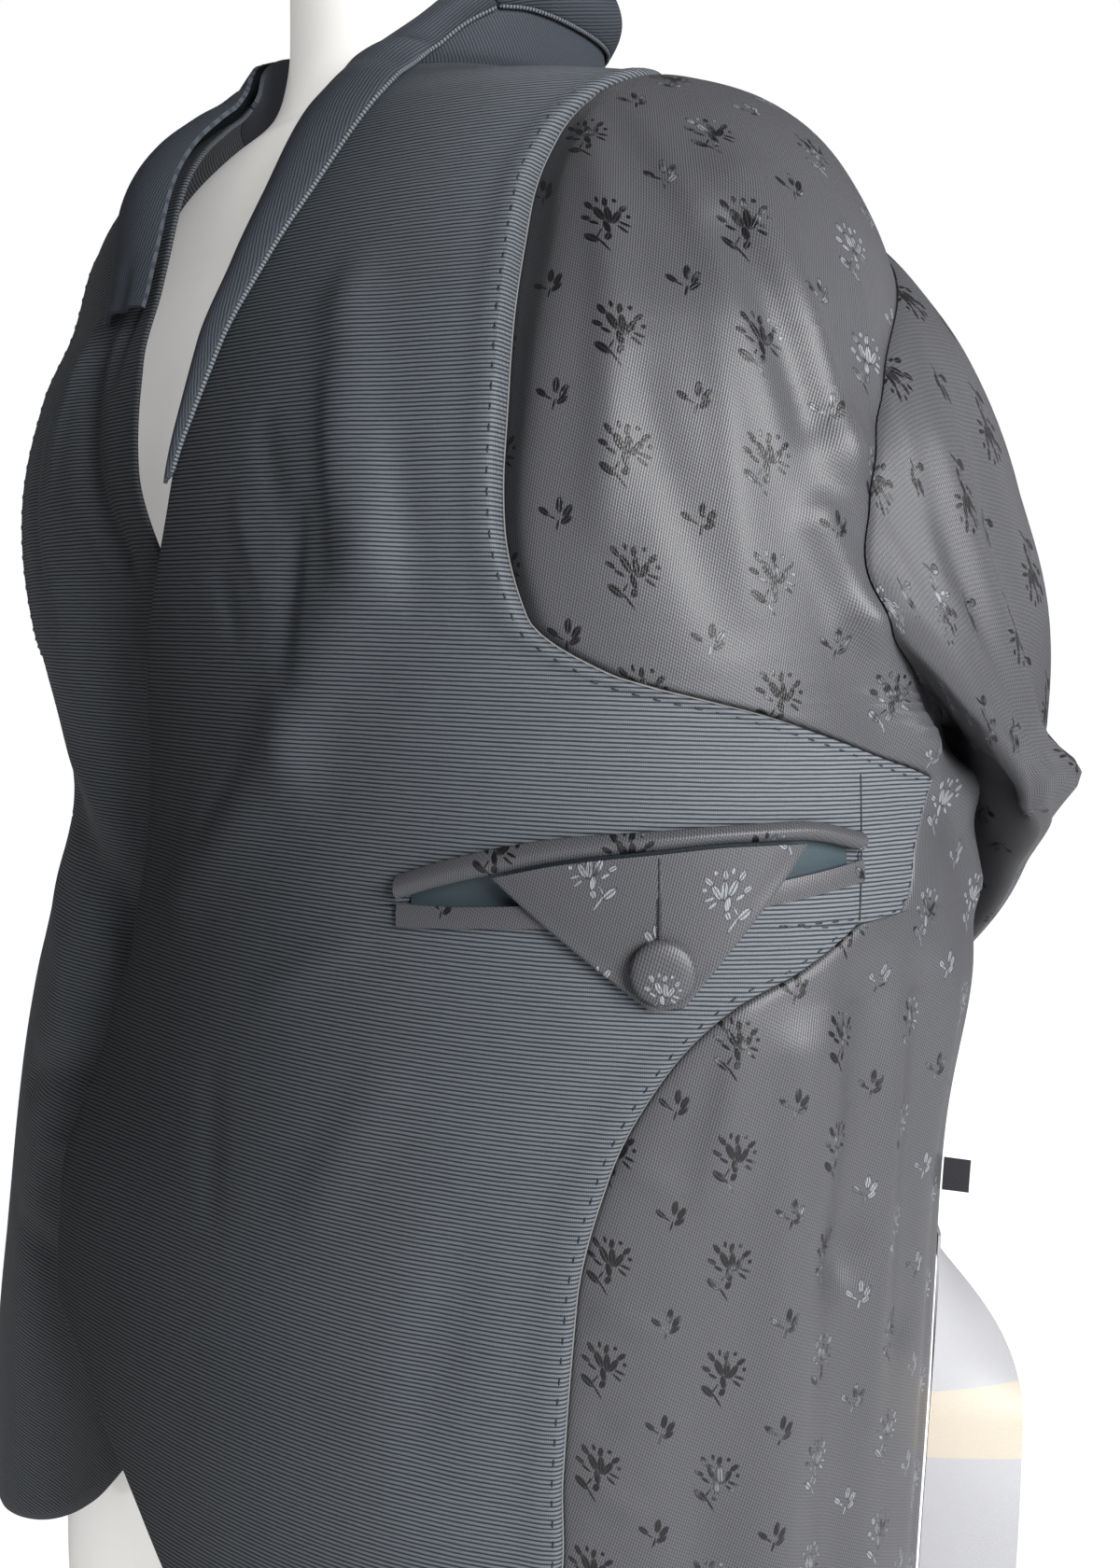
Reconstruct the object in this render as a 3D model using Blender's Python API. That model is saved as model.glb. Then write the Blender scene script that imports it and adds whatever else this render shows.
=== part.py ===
"""Tuxedo jacket, worn inside out, on a smooth limbless dress form.

Every cloth piece lies on one body surface round an upright axis. A place on it is
an own-side angle in degrees (0 at the side, -90 at the centre front, 90 at the centre
back), a level in metres (the height before the cutaway lifts the hem) and a lift off
the surface. Side 1 is the jacket's left half, at +X, and side -1 mirrors it.
Metres, +Z up, the front faces -Y, and the origin is under the middle of the foot.
"""
import bmesh
import bpy
import numpy as np

LEFT, RIGHT = 1, -1

# Cloth walls and seams, in metres
WALL = 0.0016
SEAM_GAP = 0.0004
ON_CLOTH = WALL + SEAM_GAP          # lift of a piece that lies on a panel
HEM_LEVEL = 0.060
HEM_BAND_TOP = 0.085
NECK_LEVEL = 0.676
NAPE_RISE = 0.012                   # how much higher the neck seam is at the nape
NAPE_START, NAPE_SPAN = 0.600, 0.075
CUTAWAY_FADE = 0.300                # height over which the hem's lift fades out
LOWEST_ANGLE = -150.0               # own angles run from here all the way round

# The right front passes under the left one, below the crossing of their edges
TUCK = 0.0108
TUCK_ANGLES = (-48.0, -70.0)
TUCK_LEVELS = (0.475, 0.530)

# Body surface: level, half width, half depth, centre x, centre y, squareness
BODY = np.array([
    (.040, .222, .146, .000, .000, 2.30),
    (.120, .222, .144, .000, .000, 2.30),
    (.220, .220, .141, .002, .003, 2.30),
    (.320, .217, .136, .004, .005, 2.30),
    (.400, .213, .132, .005, .004, 2.30),
    (.480, .211, .132, .002, -.003, 2.30),
    (.530, .209, .129, .000, -.006, 2.25),
    (.570, .205, .120, .000, -.006, 2.20),
    (.601, .198, .107, .000, -.004, 2.10),
    (.630, .184, .093, .000, -.003, 2.05),
    (.656, .158, .083, .000, -.002, 2.00),
    (.666, .130, .078, .000, -.001, 2.00),
    (.671, .104, .075, .000, -.001, 2.00),
    (.676, .084, .073, .000, -.002, 2.00),
    (.684, .071, .070, .000, -.004, 2.00),
    (.706, .066, .066, .000, -.008, 2.00),
    (.736, .067, .067, .000, -.008, 2.00)])

# Broad swells and hollows: polar angle, level, spread in degrees, spread in height, depth
SWELLS = np.array([
    (-137, .405, 40, .070, -.0155),
    (25, .370, 24, .045, .0120),
    (-135, .640, 38, .032, .0160)])

# Cutaway: degrees past the side towards the front, lift of the hem
CUTAWAY = np.array([
    (0, .000), (20, .012), (40, .034), (60, .052), (75, .078),
    (86, .106), (94, .126), (102, .146), (108, .158), (115, .160)])

# Front edges: level, angle on the left front, angle on the right front
FRONT_EDGE = np.array([
    (.060, -108.0, -108.0), (.200, -108.5, -108.5), (.260, -108.5, -108.5),
    (.300, -108.0, -108.0), (.360, -106.0, -106.0), (.403, -103.0, -103.0),
    (.440, -98.0, -98.0), (.469, -94.0, -94.0), (.486, -90.5, -90.0),
    (.519, -85.0, -87.0), (.561, -82.0, -81.0), (.605, -81.0, -73.0),
    (.653, -76.0, -69.0), (.676, -68.0, -66.0)])

# Seam between facing and lining, with the pocket tab: level, angle
FACING_SEAM = np.array([
    (.060, -30.0), (.178, -30.0), (.208, -30.5), (.269, -30.2), (.312, -28.0),
    (.344, -23.8), (.366, -18.0), (.376, -12.5), (.387, -7.5), (.3895, -6.5),
    (.3915, -1.0), (.412, 2.0), (.433, 4.8), (.4345, 3.6), (.444, -5.0),
    (.454, -14.8), (.465, -27.5), (.481, -34.2), (.509, -35.8), (.553, -35.2),
    (.583, -34.2), (.613, -32.2), (.637, -27.8), (.649, -23.0), (.658, -17.0),
    (.665, -9.0), (.671, 3.0), (.676, 13.0)])

# Side seam, armhole and shoulder seam: level, front panel's edge, back panel's edge
SIDE_EDGE = np.array([
    (.060, 22.0, 22.0), (.450, 22.0, 22.0), (.4535, 17.5, 26.5), (.458, 12.0, 30.0),
    (.464, 6.0, 33.5), (.472, 0.6, 36.5), (.484, -3.4, 39.0), (.500, -4.2, 40.8),
    (.524, -2.6, 40.8), (.548, -0.6, 38.8), (.570, 2.4, 34.5), (.588, 6.2, 29.0),
    (.602, 10.0, 23.0), (.611, 13.0, 17.5), (.615, 14.0, 14.0), (.676, 14.0, 14.0)])
ARMHOLE_BOTTOM, ARMHOLE_TOP = 0.450, 0.615

# Soft folds: side, angle and level at the start, angle and level at the end,
# half width, height (below 0 it is a trough)
FOLDS = np.array([
    (LEFT, -12.7, .615, -5.2, .536, .0120, .0040),
    (LEFT, -5.2, .536, 2.2, .450, .0120, .0040),
    (LEFT, -15.0, .598, -9.5, .543, .0080, -.0025),
    (LEFT, -8.5, .513, -4.5, .483, .0080, .0040),
    (LEFT, -4.5, .483, 1.5, .448, .0090, .0045),
    (LEFT, 4.0, .442, 12.0, .428, .0100, .0050),
    (LEFT, 12.0, .430, 15.2, .396, .0100, .0060),
    (LEFT, -5.0, .365, -6.2, .280, .0110, -.0045),
    (LEFT, -6.2, .280, -5.0, .120, .0120, -.0040),
    (LEFT, 2.5, .365, 3.5, .250, .0090, -.0035),
    (LEFT, -12.0, .350, -13.0, .140, .0120, .0035),
    (LEFT, -53.5, .578, -49.0, .500, .0140, .0030),
    (LEFT, -49.0, .500, -63.0, .438, .0160, .0035),
    (LEFT, -63.0, .438, -88.0, .385, .0160, .0030),
    (RIGHT, -60.0, .578, -76.0, .505, .0120, -.0050),
    (RIGHT, -30.0, .402, -70.0, .356, .0140, -.0060),
    (RIGHT, -46.0, .280, -68.0, .306, .0120, -.0030),
    (RIGHT, -13.0, .600, -8.0, .485, .0130, .0040),
    (RIGHT, 4.0, .440, 13.0, .400, .0100, .0050),
    (RIGHT, -4.0, .350, -6.0, .120, .0120, -.0040),
    (RIGHT, -16.0, .330, -14.0, .130, .0120, .0030),
    (LEFT, 44.0, .570, 58.0, .480, .0160, .0040),
    (RIGHT, 45.0, .580, 60.0, .470, .0160, .0040),
    (LEFT, 36.0, .300, 38.0, .100, .0180, .0050),
    (RIGHT, 35.0, .280, 37.0, .100, .0180, .0050),
    (LEFT, 76.0, .260, 75.0, .100, .0160, -.0045),
    (RIGHT, 74.0, .280, 76.0, .100, .0160, -.0045)])
SIDE_DEGREE = 0.0037                # length of a degree at the side

# Back ease pleat: half width in degrees, height, lowest and highest level
PLEAT_SPREAD, PLEAT_HEIGHT = 2.6, 0.0040
PLEAT_LEVELS = (0.100, 0.655)
PLEAT_FADE = 0.040

# Sleeve tube: angle, level, tilt in degrees, half width, thickness
SLEEVE = np.array([
    (27.0, .4480, 25.0, .068, .0395),
    (38.5, .4200, 34.0, .064, .0325),
    (48.5, .3880, 36.0, .062, .0300),
    (57.0, .3500, 26.0, .061, .0280),
    (61.5, .3000, 12.0, .060, .0275),
    (62.5, .2450, 3.0, .059, .0265),
    (62.5, .1870, 0.0, .058, .0260),
    (62.5, .1254, 0.0, .057, .0260)])
CUFF = np.array([
    (62.5, .1250, 0.0, .057, .0260),
    (62.5, .0980, 0.0, .057, .0264)])
SLEEVE_CLEARANCE = 0.0050           # between the body surface and the sleeve
SLEEVE_SQUARENESS = 2.1
HEAD_LIFT = 0.0023                  # of the sleeve's seam round the armhole
HEAD_EASE = 0.0022                  # extra lift between that seam and the tube
HEAD_STATIONS = (0.0, .10, .24, .42, .62, .82)
HEAD_RIMS = (0.0019, 0.0003)        # how far the outer and inner skins start past the armhole
HEAD_SWELL_POWER, HEAD_EASE_POWER, HEAD_DROP_POWER = 1.25, 0.5, 1.3
# Sleeve troughs: degrees round the tube, row at the start, row at the end,
# half width in degrees, depth
SLEEVE_FOLDS = np.array([
    (128, 2, 8, 17, .0080),
    (66, 4, 10, 15, .0050),
    (95, 8, 15, 16, .0045)])
SLEEVE_FOLD_FADE = 2                # rows over which a trough starts and ends

# Top of the collar stand: angle on the left half's scale, level
STAND_TOP = np.array([
    (-66, .6785), (-60, .6850), (-48, .6950), (-36, .7070), (-20, .7160), (0, .7210),
    (30, .7250), (90, .7280), (150, .7250), (180, .7210), (200, .7160), (216, .7070),
    (228, .6980), (238, .6900), (246, .6785)])

# A rolled strip swells as an arc does, from the first share of half a turn by the second
ROLL_ARC = (0.15, 0.82)
WELT_ARC = (0.12, 0.76)

# Rolled edge: angle and level at the roll, angle and level at the free edge, swell
ROLL_LEFT = np.array([
    (-84.6, .5240, -83.4, .5265, .0006), (-82.2, .5550, -79.3, .5510, .0020),
    (-81.4, .5800, -76.0, .5750, .0030), (-81.0, .6050, -72.3, .6030, .0036),
    (-79.0, .6330, -67.0, .6260, .0042), (-75.6, .6540, -61.5, .6440, .0046),
    (-71.5, .6670, -56.0, .6590, .0048), (-67.6, .6765, -51.5, .6720, .0050),
    (-60.5, .6835, -46.0, .6815, .0050), (-48.0, .6940, -35.5, .6930, .0050),
    (-36.2, .7062, -24.4, .7015, .0050)])
ROLL_RIGHT = np.array([
    (-75.0, .5900, -58.0, .5900, .0050), (-72.8, .6050, -56.0, .6040, .0060),
    (-70.6, .6300, -53.0, .6260, .0066), (-69.0, .6520, -50.0, .6450, .0066),
    (-67.2, .6680, -47.0, .6590, .0062), (-65.8, .6765, -44.5, .6700, .0060),
    (-57.0, .6890, -40.0, .6810, .0055), (-47.0, .6990, -34.0, .6890, .0050),
    (-36.2, .7062, -26.4, .6950, .0050)])
COLLAR_FALL = np.array([
    (-35.8, .7066, -24.0, .7018, .0050), (-20.0, .7155, -12.0, .7040, .0050),
    (0.0, .7205, 3.0, .7045, .0050), (30.0, .7245, 31.0, .7050, .0046),
    (60.0, .7270, 60.0, .7055, .0044), (90.0, .7275, 90.0, .7060, .0044),
    (120.0, .7270, 120.0, .7055, .0044), (150.0, .7245, 149.0, .7050, .0046),
    (180.0, .7205, 177.0, .7045, .0050), (200.0, .7155, 192.0, .7000, .0050),
    (215.8, .7066, 206.0, .6954, .0050)])

# Breast pocket: angle, then the levels of the upper welt's top, the mouth's top,
# the mouth's bottom and the lower welt's bottom
POCKET = np.array([
    (-48.2, .4005, .3925, .3915, .3840), (-43.0, .4065, .3985, .3922, .3852),
    (-38.0, .4115, .4035, .3937, .3868), (-32.0, .4160, .4090, .3960, .3885),
    (-25.0, .4190, .4130, .3990, .3915), (-18.0, .4215, .4160, .4025, .3955),
    (-12.5, .4225, .4165, .4060, .3990), (-6.3, .4185, .4125, .4100, .4030)])
WELT_LOW, BAG_WALL, FLAP_WALL, WELT_ROLL = 0.0010, 0.0008, 0.0012, 0.0034
FLAP_TOP_ANGLES = (-38.4, -12.2)
FLAP_TIP = ((-25.1, .3652), (-22.5, .3664))
FLAP_LIFT = ON_CLOTH + WELT_LOW + SEAM_GAP
BUTTON_PLACE = (-24.2, .3775)
# Covered button: radius, height above its back
BUTTON = np.array([
    (.0082, .0000), (.0098, .0008), (.0100, .0022), (.0093, .0035),
    (.0075, .0044), (.0045, .0049), (.0018, .0050)])

# Side seam labels: angle, lower and upper level, reach outwards, thickness
TAB_LABEL = (15.5, .281, .293, .0095, .0010)
CARE_ANGLE, CARE_TOP, CARE_LENGTH, CARE_WIDTH = 16.5, .262, .130, .036
CARE_TURN = 78.0                    # degrees that it turns away from the seam
CARE_WALL = 0.0010
CARE_TURN_SHARE = 0.55              # share of its length over which it turns
CARE_SWAY, CARE_WAVES = 0.0035, 1.6
LABEL_ROOT = 0.0022                 # lift of the labels' sewn edges

# Dress form: height, half width, half depth, centre y, squareness
FORM = np.array([
    (.0000, .172, .112, .000, 2.20), (.0060, .177, .117, .000, 2.20),
    (.0700, .184, .124, .000, 2.20), (.1600, .186, .124, .001, 2.20),
    (.2500, .178, .114, .002, 2.20), (.3400, .164, .098, .001, 2.20),
    (.4200, .166, .099, -.002, 2.20), (.4900, .179, .108, -.005, 2.20),
    (.5400, .188, .112, -.006, 2.15), (.5750, .187, .103, -.005, 2.10),
    (.6020, .182, .093, -.004, 2.05), (.6280, .172, .083, -.003, 2.00),
    (.6549, .155, .076, -.002, 2.00), (.6651, .128, .073, -.001, 2.00),
    (.6701, .102, .070, -.001, 2.00), (.6750, .081, .067, -.002, 2.00),
    (.6850, .063, .062, -.006, 2.00), (.7050, .056, .057, -.010, 2.00),
    (.7450, .054, .055, -.014, 2.00), (.7850, .054, .055, -.016, 2.00),
    (.7950, .050, .051, -.016, 2.00), (.8000, .041, .042, -.016, 2.00)])
FORM_SIDES = 32
FORM_CAP_ROWS = 3                   # top rings that lie level

# Rows shared by every panel, so that neighbours meet row for row
LEVELS = np.array([
    .0854, .140, .200, .260, .312, .344, .366, .380, .3895, .3915, .412, .433, .4345,
    .450, .4535, .458, .464, .472, .484, .500, .524, .548, .570, .588, .602, .611, .615,
    .637, .651, .660, .667, .672, .6756])

# Columns and rows of the other grids
FACING_COLUMNS = {LEFT: 16, RIGHT: 14}
LINING_COLUMNS = 8
BACK_SHARES = np.array([0, .17, .34, .51, .67, .81, .91, .96, 1])   # from a side to the middle
STAND_COLUMNS, STAND_ROWS = 33, 5
ROLL_ROWS = {LEFT: 21, RIGHT: 18}
FALL_ROWS, ROLL_COLUMNS = 33, 5
POCKET_COLUMNS, POCKET_ROWS = 15, 4
FLAP_COLUMNS, FLAP_ROWS = 9, 8
BUTTON_SIDES = 22
TAB_ROWS, TAB_COLUMNS = 3, 4
CARE_ROWS, CARE_COLUMNS = 11, 6


def monotone(x, xs, ys):
    """Read a smooth curve through the rows that never overshoots them."""
    step = np.diff(xs)
    slope = np.diff(ys) / step
    tangent = np.zeros_like(ys)
    before, after = slope[:-1], slope[1:]
    same_way = before * after > 0
    first = 2 * step[1:] + step[:-1]
    second = step[1:] + 2 * step[:-1]
    safe_before = np.where(same_way, before, 1)
    safe_after = np.where(same_way, after, 1)
    mean = (first + second) / (first / safe_before + second / safe_after)
    tangent[1:-1] = np.where(same_way, mean, 0)
    tangent[0], tangent[-1] = slope[0], slope[-1]
    x = np.clip(x, xs[0], xs[-1])
    row = np.clip(np.searchsorted(xs, x, side="right") - 1, 0, len(step) - 1)
    t = (x - xs[row]) / step[row]
    return ((1 + 2 * t) * (1 - t) ** 2 * ys[row] + t * (1 - t) ** 2 * step[row] * tangent[row]
            + t * t * (3 - 2 * t) * ys[row + 1] + t * t * (t - 1) * step[row] * tangent[row + 1])


def column(table, x, index):
    """Read one column of a table at x, which is on the scale of its first column."""
    return monotone(x, table[:, 0], table[:, index])


def smooth(t):
    """Ease from 0 to 1 as t does."""
    t = np.clip(t, 0, 1)
    return t * t * (3 - 2 * t)


def oval_radius(angle, half_width, half_depth, squareness):
    """Radius of a rounded oval at a polar angle in radians."""
    across = np.abs(np.cos(angle) / half_width) ** squareness
    along = np.abs(np.sin(angle) / half_depth) ** squareness
    return (across + along) ** (-1 / squareness)


def body_point(angle, level, side):
    """A point of the bare body surface."""
    angle, level = np.broadcast_arrays(np.asarray(angle, float), np.asarray(level, float))
    half_width, half_depth, centre_x, centre_y, squareness = (
        column(BODY, level, index) for index in range(1, 6))
    polar = angle if side == LEFT else 180 - angle
    turn = np.radians(polar)
    radius = oval_radius(turn, half_width, half_depth, squareness)
    for swell_angle, swell_level, spread, height, depth in SWELLS:
        away = (polar - swell_angle + 180) % 360 - 180
        radius = radius + depth * np.exp(-(away / spread) ** 2 - ((level - swell_level) / height) ** 2)
    lifted_hem = column(CUTAWAY, -angle, 1) * (1 - smooth((level - HEM_LEVEL) / CUTAWAY_FADE))
    nape = NAPE_RISE * np.clip(np.sin(turn), 0, 1) ** 2 * smooth((level - NAPE_START) / NAPE_SPAN)
    return np.stack([centre_x + radius * np.cos(turn), centre_y + radius * np.sin(turn),
                     level + lifted_hem + nape], -1)


def body_normal(angle, level, side):
    """The unit normal of the body surface, pointing outwards."""
    angle_step, level_step = 0.5, 0.0015
    along = body_point(angle + angle_step, level, side) - body_point(angle - angle_step, level, side)
    up = body_point(angle, level + level_step, side) - body_point(angle, level - level_step, side)
    normal = np.cross(along, up) * side
    return normal / np.linalg.norm(normal, axis=-1, keepdims=True)


def degree_length(angle, level, side):
    """Length of one degree of the body surface there."""
    half = 0.5
    step = body_point(angle + half, level, side) - body_point(angle - half, level, side)
    return np.linalg.norm(step, axis=-1)


def fold_height(angle, level, side):
    """Height of all soft folds and of the back pleat there."""
    height = np.zeros(np.broadcast(angle, level).shape)
    for fold_side, angle_1, level_1, angle_2, level_2, half_width, rise in FOLDS:
        own = angle if side == fold_side else 180 - angle
        own = (own - LOWEST_ANGLE) % 360 + LOWEST_ANGLE
        x, y = (own - angle_1) * SIDE_DEGREE, level - level_1
        run_x, run_y = (angle_2 - angle_1) * SIDE_DEGREE, level_2 - level_1
        share = np.clip((x * run_x + y * run_y) / (run_x ** 2 + run_y ** 2), 0, 1)
        away = (x - share * run_x) ** 2 + (y - share * run_y) ** 2
        height = height + rise * np.exp(-away / half_width ** 2)
    inside = (smooth((level - PLEAT_LEVELS[0]) / PLEAT_FADE)
              * smooth((PLEAT_LEVELS[1] - level) / PLEAT_FADE))
    pleat = PLEAT_HEIGHT * inside * np.exp(-((angle - 90) / PLEAT_SPREAD) ** 2)
    return height + pleat


def tuck_depth(angle, level, side):
    """How far the right front lies under the left one."""
    if side == LEFT:
        return 0.0
    forward = smooth((angle - TUCK_ANGLES[0]) / (TUCK_ANGLES[1] - TUCK_ANGLES[0]))
    low = 1 - smooth((level - TUCK_LEVELS[0]) / (TUCK_LEVELS[1] - TUCK_LEVELS[0]))
    return TUCK * forward * low


def cloth_point(angle, level, lift, side):
    """A point at a lift off the body surface, with the folds."""
    angle, level = np.broadcast_arrays(np.asarray(angle, float), np.asarray(level, float))
    rise = lift + fold_height(angle, level, side) - tuck_depth(angle, level, side)
    return body_point(angle, level, side) + rise[..., None] * body_normal(angle, level, side)


def seam_edge(table, index, level, offset, side):
    """An edge's angle, moved off its seam by a distance square to the seam."""
    step = 0.0004
    slope = (column(table, level + step, index) - column(table, level - step, index)) / (2 * step)
    angle = column(table, level, index)
    degree = degree_length(angle, level, side)
    return angle + offset * np.sqrt(1 + (slope * degree) ** 2) / degree


def material(name, colour, roughness, metallic=0.0):
    """A plain Principled material."""
    made = bpy.data.materials.new(name)
    made.use_nodes = True
    shader = made.node_tree.nodes["Principled BSDF"]
    shader.inputs["Base Color"].default_value = (*colour, 1.0)
    shader.inputs["Roughness"].default_value = roughness
    shader.inputs["Metallic"].default_value = metallic
    made.diffuse_color = (*colour, 1.0)
    return made


def add_body(name, points, faces, finish, sharp_angle=40.0):
    """Make one closed body with its faces pointing out."""
    mesh = bpy.data.meshes.new(name)
    mesh.from_pydata(np.asarray(points).tolist(), [], faces)
    shape = bmesh.new()
    shape.from_mesh(mesh)
    bmesh.ops.recalc_face_normals(shape, faces=shape.faces)
    shape.to_mesh(mesh)
    shape.free()
    mesh.materials.append(finish)
    mesh.shade_smooth()
    mesh.set_sharp_from_angle(angle=np.radians(sharp_angle))
    body = bpy.data.objects.new(name, mesh)
    bpy.context.scene.collection.objects.link(body)
    return body


def grid_faces(rows, columns, start, closed):
    """Faces of a grid whose points start at an index, row by row."""
    faces = []
    for row in range(rows - 1):
        for place in range(columns if closed else columns - 1):
            after = (place + 1) % columns
            here = start + row * columns
            above = here + columns
            faces.append((here + place, here + after, above + after, above + place))
    return faces


def rim_faces(loop, shift):
    """Faces between a loop of points and the same loop on the other skin."""
    return [(a, b, b + shift, a + shift) for a, b in zip(loop, loop[1:] + loop[:1])]


def cloth_wall(name, outer, inner, finish, closed=False):
    """A wall of cloth between two grids of points, or a tube where closed."""
    rows, columns = outer.shape[:2]
    count = rows * columns
    faces = grid_faces(rows, columns, 0, closed) + grid_faces(rows, columns, count, closed)
    bottom = list(range(columns))
    top = list(range(count - columns, count))
    if closed:
        faces += rim_faces(bottom, count) + rim_faces(top, count)
    else:
        right = list(range(2 * columns - 1, count, columns))
        left = list(range(count - 2 * columns, 0, -columns))
        faces += rim_faces(bottom + right + top[-2::-1] + left, count)
    points = np.concatenate([outer.reshape(-1, 3), inner.reshape(-1, 3)])
    return add_body(name, points, faces, finish)


def panel(name, angles, levels, side, finish, lift=0.0, wall=WALL):
    """A piece of cloth over a grid of angles and levels."""
    outer = cloth_point(angles, levels, lift + wall, side)
    inner = cloth_point(angles, levels, lift, side)
    return cloth_wall(name, outer, inner, finish)


def between(first, last, columns):
    """Spread columns evenly from one edge to the other, row by row."""
    share = np.linspace(0, 1, columns)
    return first[:, None] * (1 - share) + last[:, None] * share


def build_facing(side, finish):
    """The ribbed facing, from the front edge to the lining, with the pocket tab."""
    levels = np.concatenate([[HEM_LEVEL], LEVELS[:-1], [NECK_LEVEL]])
    edge = column(FRONT_EDGE, levels, 1 if side == LEFT else 2)
    seam = seam_edge(FACING_SEAM, 1, levels, -SEAM_GAP / 2, side)
    name = "facing_left" if side == LEFT else "facing_right"
    return panel(name, between(edge, seam, FACING_COLUMNS[side]), levels[:, None], side, finish)


def build_front_lining(side, finish):
    """The body lining between the facing and the side seam, armhole and shoulder."""
    seam = seam_edge(FACING_SEAM, 1, LEVELS, SEAM_GAP / 2, side)
    edge = seam_edge(SIDE_EDGE, 1, LEVELS, -SEAM_GAP / 2, side)
    name = "front_lining_left" if side == LEFT else "front_lining_right"
    return panel(name, between(seam, edge, LINING_COLUMNS), LEVELS[:, None], side, finish)


def build_back_lining(finish):
    """The back lining with its ease pleat down the middle."""
    edge = seam_edge(SIDE_EDGE, 2, LEVELS, SEAM_GAP / 2, LEFT)
    left = edge[:, None] * (1 - BACK_SHARES) + 90 * BACK_SHARES
    angles = np.concatenate([left, 180 - left[:, -2::-1]], 1)
    return panel("back_lining", angles, LEVELS[:, None], LEFT, finish)


def build_hem_bands(finish):
    """The turned-up strips of outer cloth along the hem."""
    levels = np.array([HEM_LEVEL, HEM_BAND_TOP])
    for side, name in ((LEFT, "hem_band_left"), (RIGHT, "hem_band_right")):
        seam = seam_edge(FACING_SEAM, 1, levels, SEAM_GAP / 2, side)
        edge = seam_edge(SIDE_EDGE, 1, levels, -SEAM_GAP / 2, side)
        panel(name, between(seam, edge, LINING_COLUMNS), levels[:, None], side, finish)
    edge = seam_edge(SIDE_EDGE, 2, levels, SEAM_GAP / 2, LEFT)
    columns = 2 * len(BACK_SHARES) - 1
    panel("hem_band_back", between(edge, 180 - edge, columns), levels[:, None], LEFT, finish)


def armhole_loop():
    """Angles and levels round the armhole, from its top down the front and up the back."""
    inside = (SIDE_EDGE[:, 0] > ARMHOLE_BOTTOM) & (SIDE_EDGE[:, 0] < ARMHOLE_TOP)
    rows = SIDE_EDGE[inside]
    top = column(SIDE_EDGE, ARMHOLE_TOP, 1)
    bottom = column(SIDE_EDGE, ARMHOLE_BOTTOM, 1)
    angles = np.concatenate([[top], rows[::-1, 1], [bottom], rows[:, 2]])
    levels = np.concatenate([[ARMHOLE_TOP], rows[::-1, 0], [ARMHOLE_BOTTOM], rows[:, 0]])
    return angles, levels


def sleeve_ring(row, around, inset, side):
    """Angles, levels and lifts of one flattened ring of the sleeve."""
    angle, level, tilt, half_width, thickness = row
    power = 2 / SLEEVE_SQUARENESS
    cosine, sine = np.cos(around), np.sin(around)
    across = (half_width - inset) * np.sign(cosine) * np.abs(cosine) ** power
    out = (thickness / 2 - inset) * np.sign(sine) * np.abs(sine) ** power
    degree = degree_length(angle, level, side)
    lean = np.radians(tilt)
    return (angle + across * np.cos(lean) / degree, level + across * np.sin(lean),
            SLEEVE_CLEARANCE + thickness / 2 + out)


def build_sleeve(side, lining, cloth):
    """The sleeve lining from the armhole to the wrist, and its cuff."""
    loop_angle, loop_level = armhole_loop()
    x, y = loop_angle * SIDE_DEGREE, loop_level
    length = np.hypot(np.diff(x, append=x[0]), np.diff(y, append=y[0]))
    along = np.concatenate([[0], np.cumsum(length)[:-1]]) / length.sum()
    around = np.radians(90 + 360 * along)
    middle_x, middle_y = x.mean(), y.mean()
    reach = np.hypot(x - middle_x, y - middle_y)
    out_x, out_y = (x - middle_x) / reach, (y - middle_y) / reach
    skins = []
    for inset, rim in zip((0.0, WALL), HEAD_RIMS):
        rim_angle = loop_angle + rim * out_x / SIDE_DEGREE
        rim_level = loop_level + rim * out_y
        first = sleeve_ring(SLEEVE[0], around, inset, side)
        rows = []
        for share in HEAD_STATIONS:
            swell = np.sin(share * np.pi / 2) ** HEAD_SWELL_POWER
            ease = HEAD_EASE * np.sin(share * np.pi) ** HEAD_EASE_POWER
            drop = share ** HEAD_DROP_POWER
            rows.append((rim_angle + drop * (first[0] - rim_angle),
                         rim_level + drop * (first[1] - rim_level),
                         HEAD_LIFT + ease + swell * (first[2] - HEAD_LIFT)))
        rows += [sleeve_ring(row, around, inset, side) for row in SLEEVE]
        skins.append(sleeve_skin(rows, around, side))
    name = "left" if side == LEFT else "right"
    cloth_wall("sleeve_lining_" + name, skins[0], skins[1], lining, closed=True)
    cuff = [sleeve_skin([sleeve_ring(row, around, inset, side) for row in CUFF], around, side,
                        first_row=len(HEAD_STATIONS) + len(SLEEVE)) for inset in (0.0, WALL)]
    cloth_wall("cuff_" + name, cuff[0], cuff[1], cloth, closed=True)


def sleeve_skin(rows, around, side, first_row=0):
    """Points of the rings of a sleeve, with its own troughs."""
    angles, levels, lifts = (np.array([row[index] for row in rows]) for index in range(3))
    number = np.arange(first_row, first_row + len(rows))[:, None]
    degrees = np.degrees(around)[None, :]
    for place, start, end, spread, depth in SLEEVE_FOLDS:
        away = (degrees - place + 180) % 360 - 180
        reach = (smooth((number - start) / SLEEVE_FOLD_FADE)
                 * smooth((end - number) / SLEEVE_FOLD_FADE))
        lifts = lifts - depth * reach * np.exp(-(away / spread) ** 2)
    return cloth_point(angles, levels, lifts, side)


def build_collar_stand(finish):
    """The collar band that stands round the neck."""
    angles = np.linspace(STAND_TOP[0, 0], STAND_TOP[-1, 0], STAND_COLUMNS)
    top = column(STAND_TOP, angles, 1)
    share = np.linspace(0, 1, STAND_ROWS)[:, None]
    bottom = NECK_LEVEL + SEAM_GAP
    return panel("collar_stand", angles[None, :], bottom + share * (top - bottom), LEFT, finish)


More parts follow.
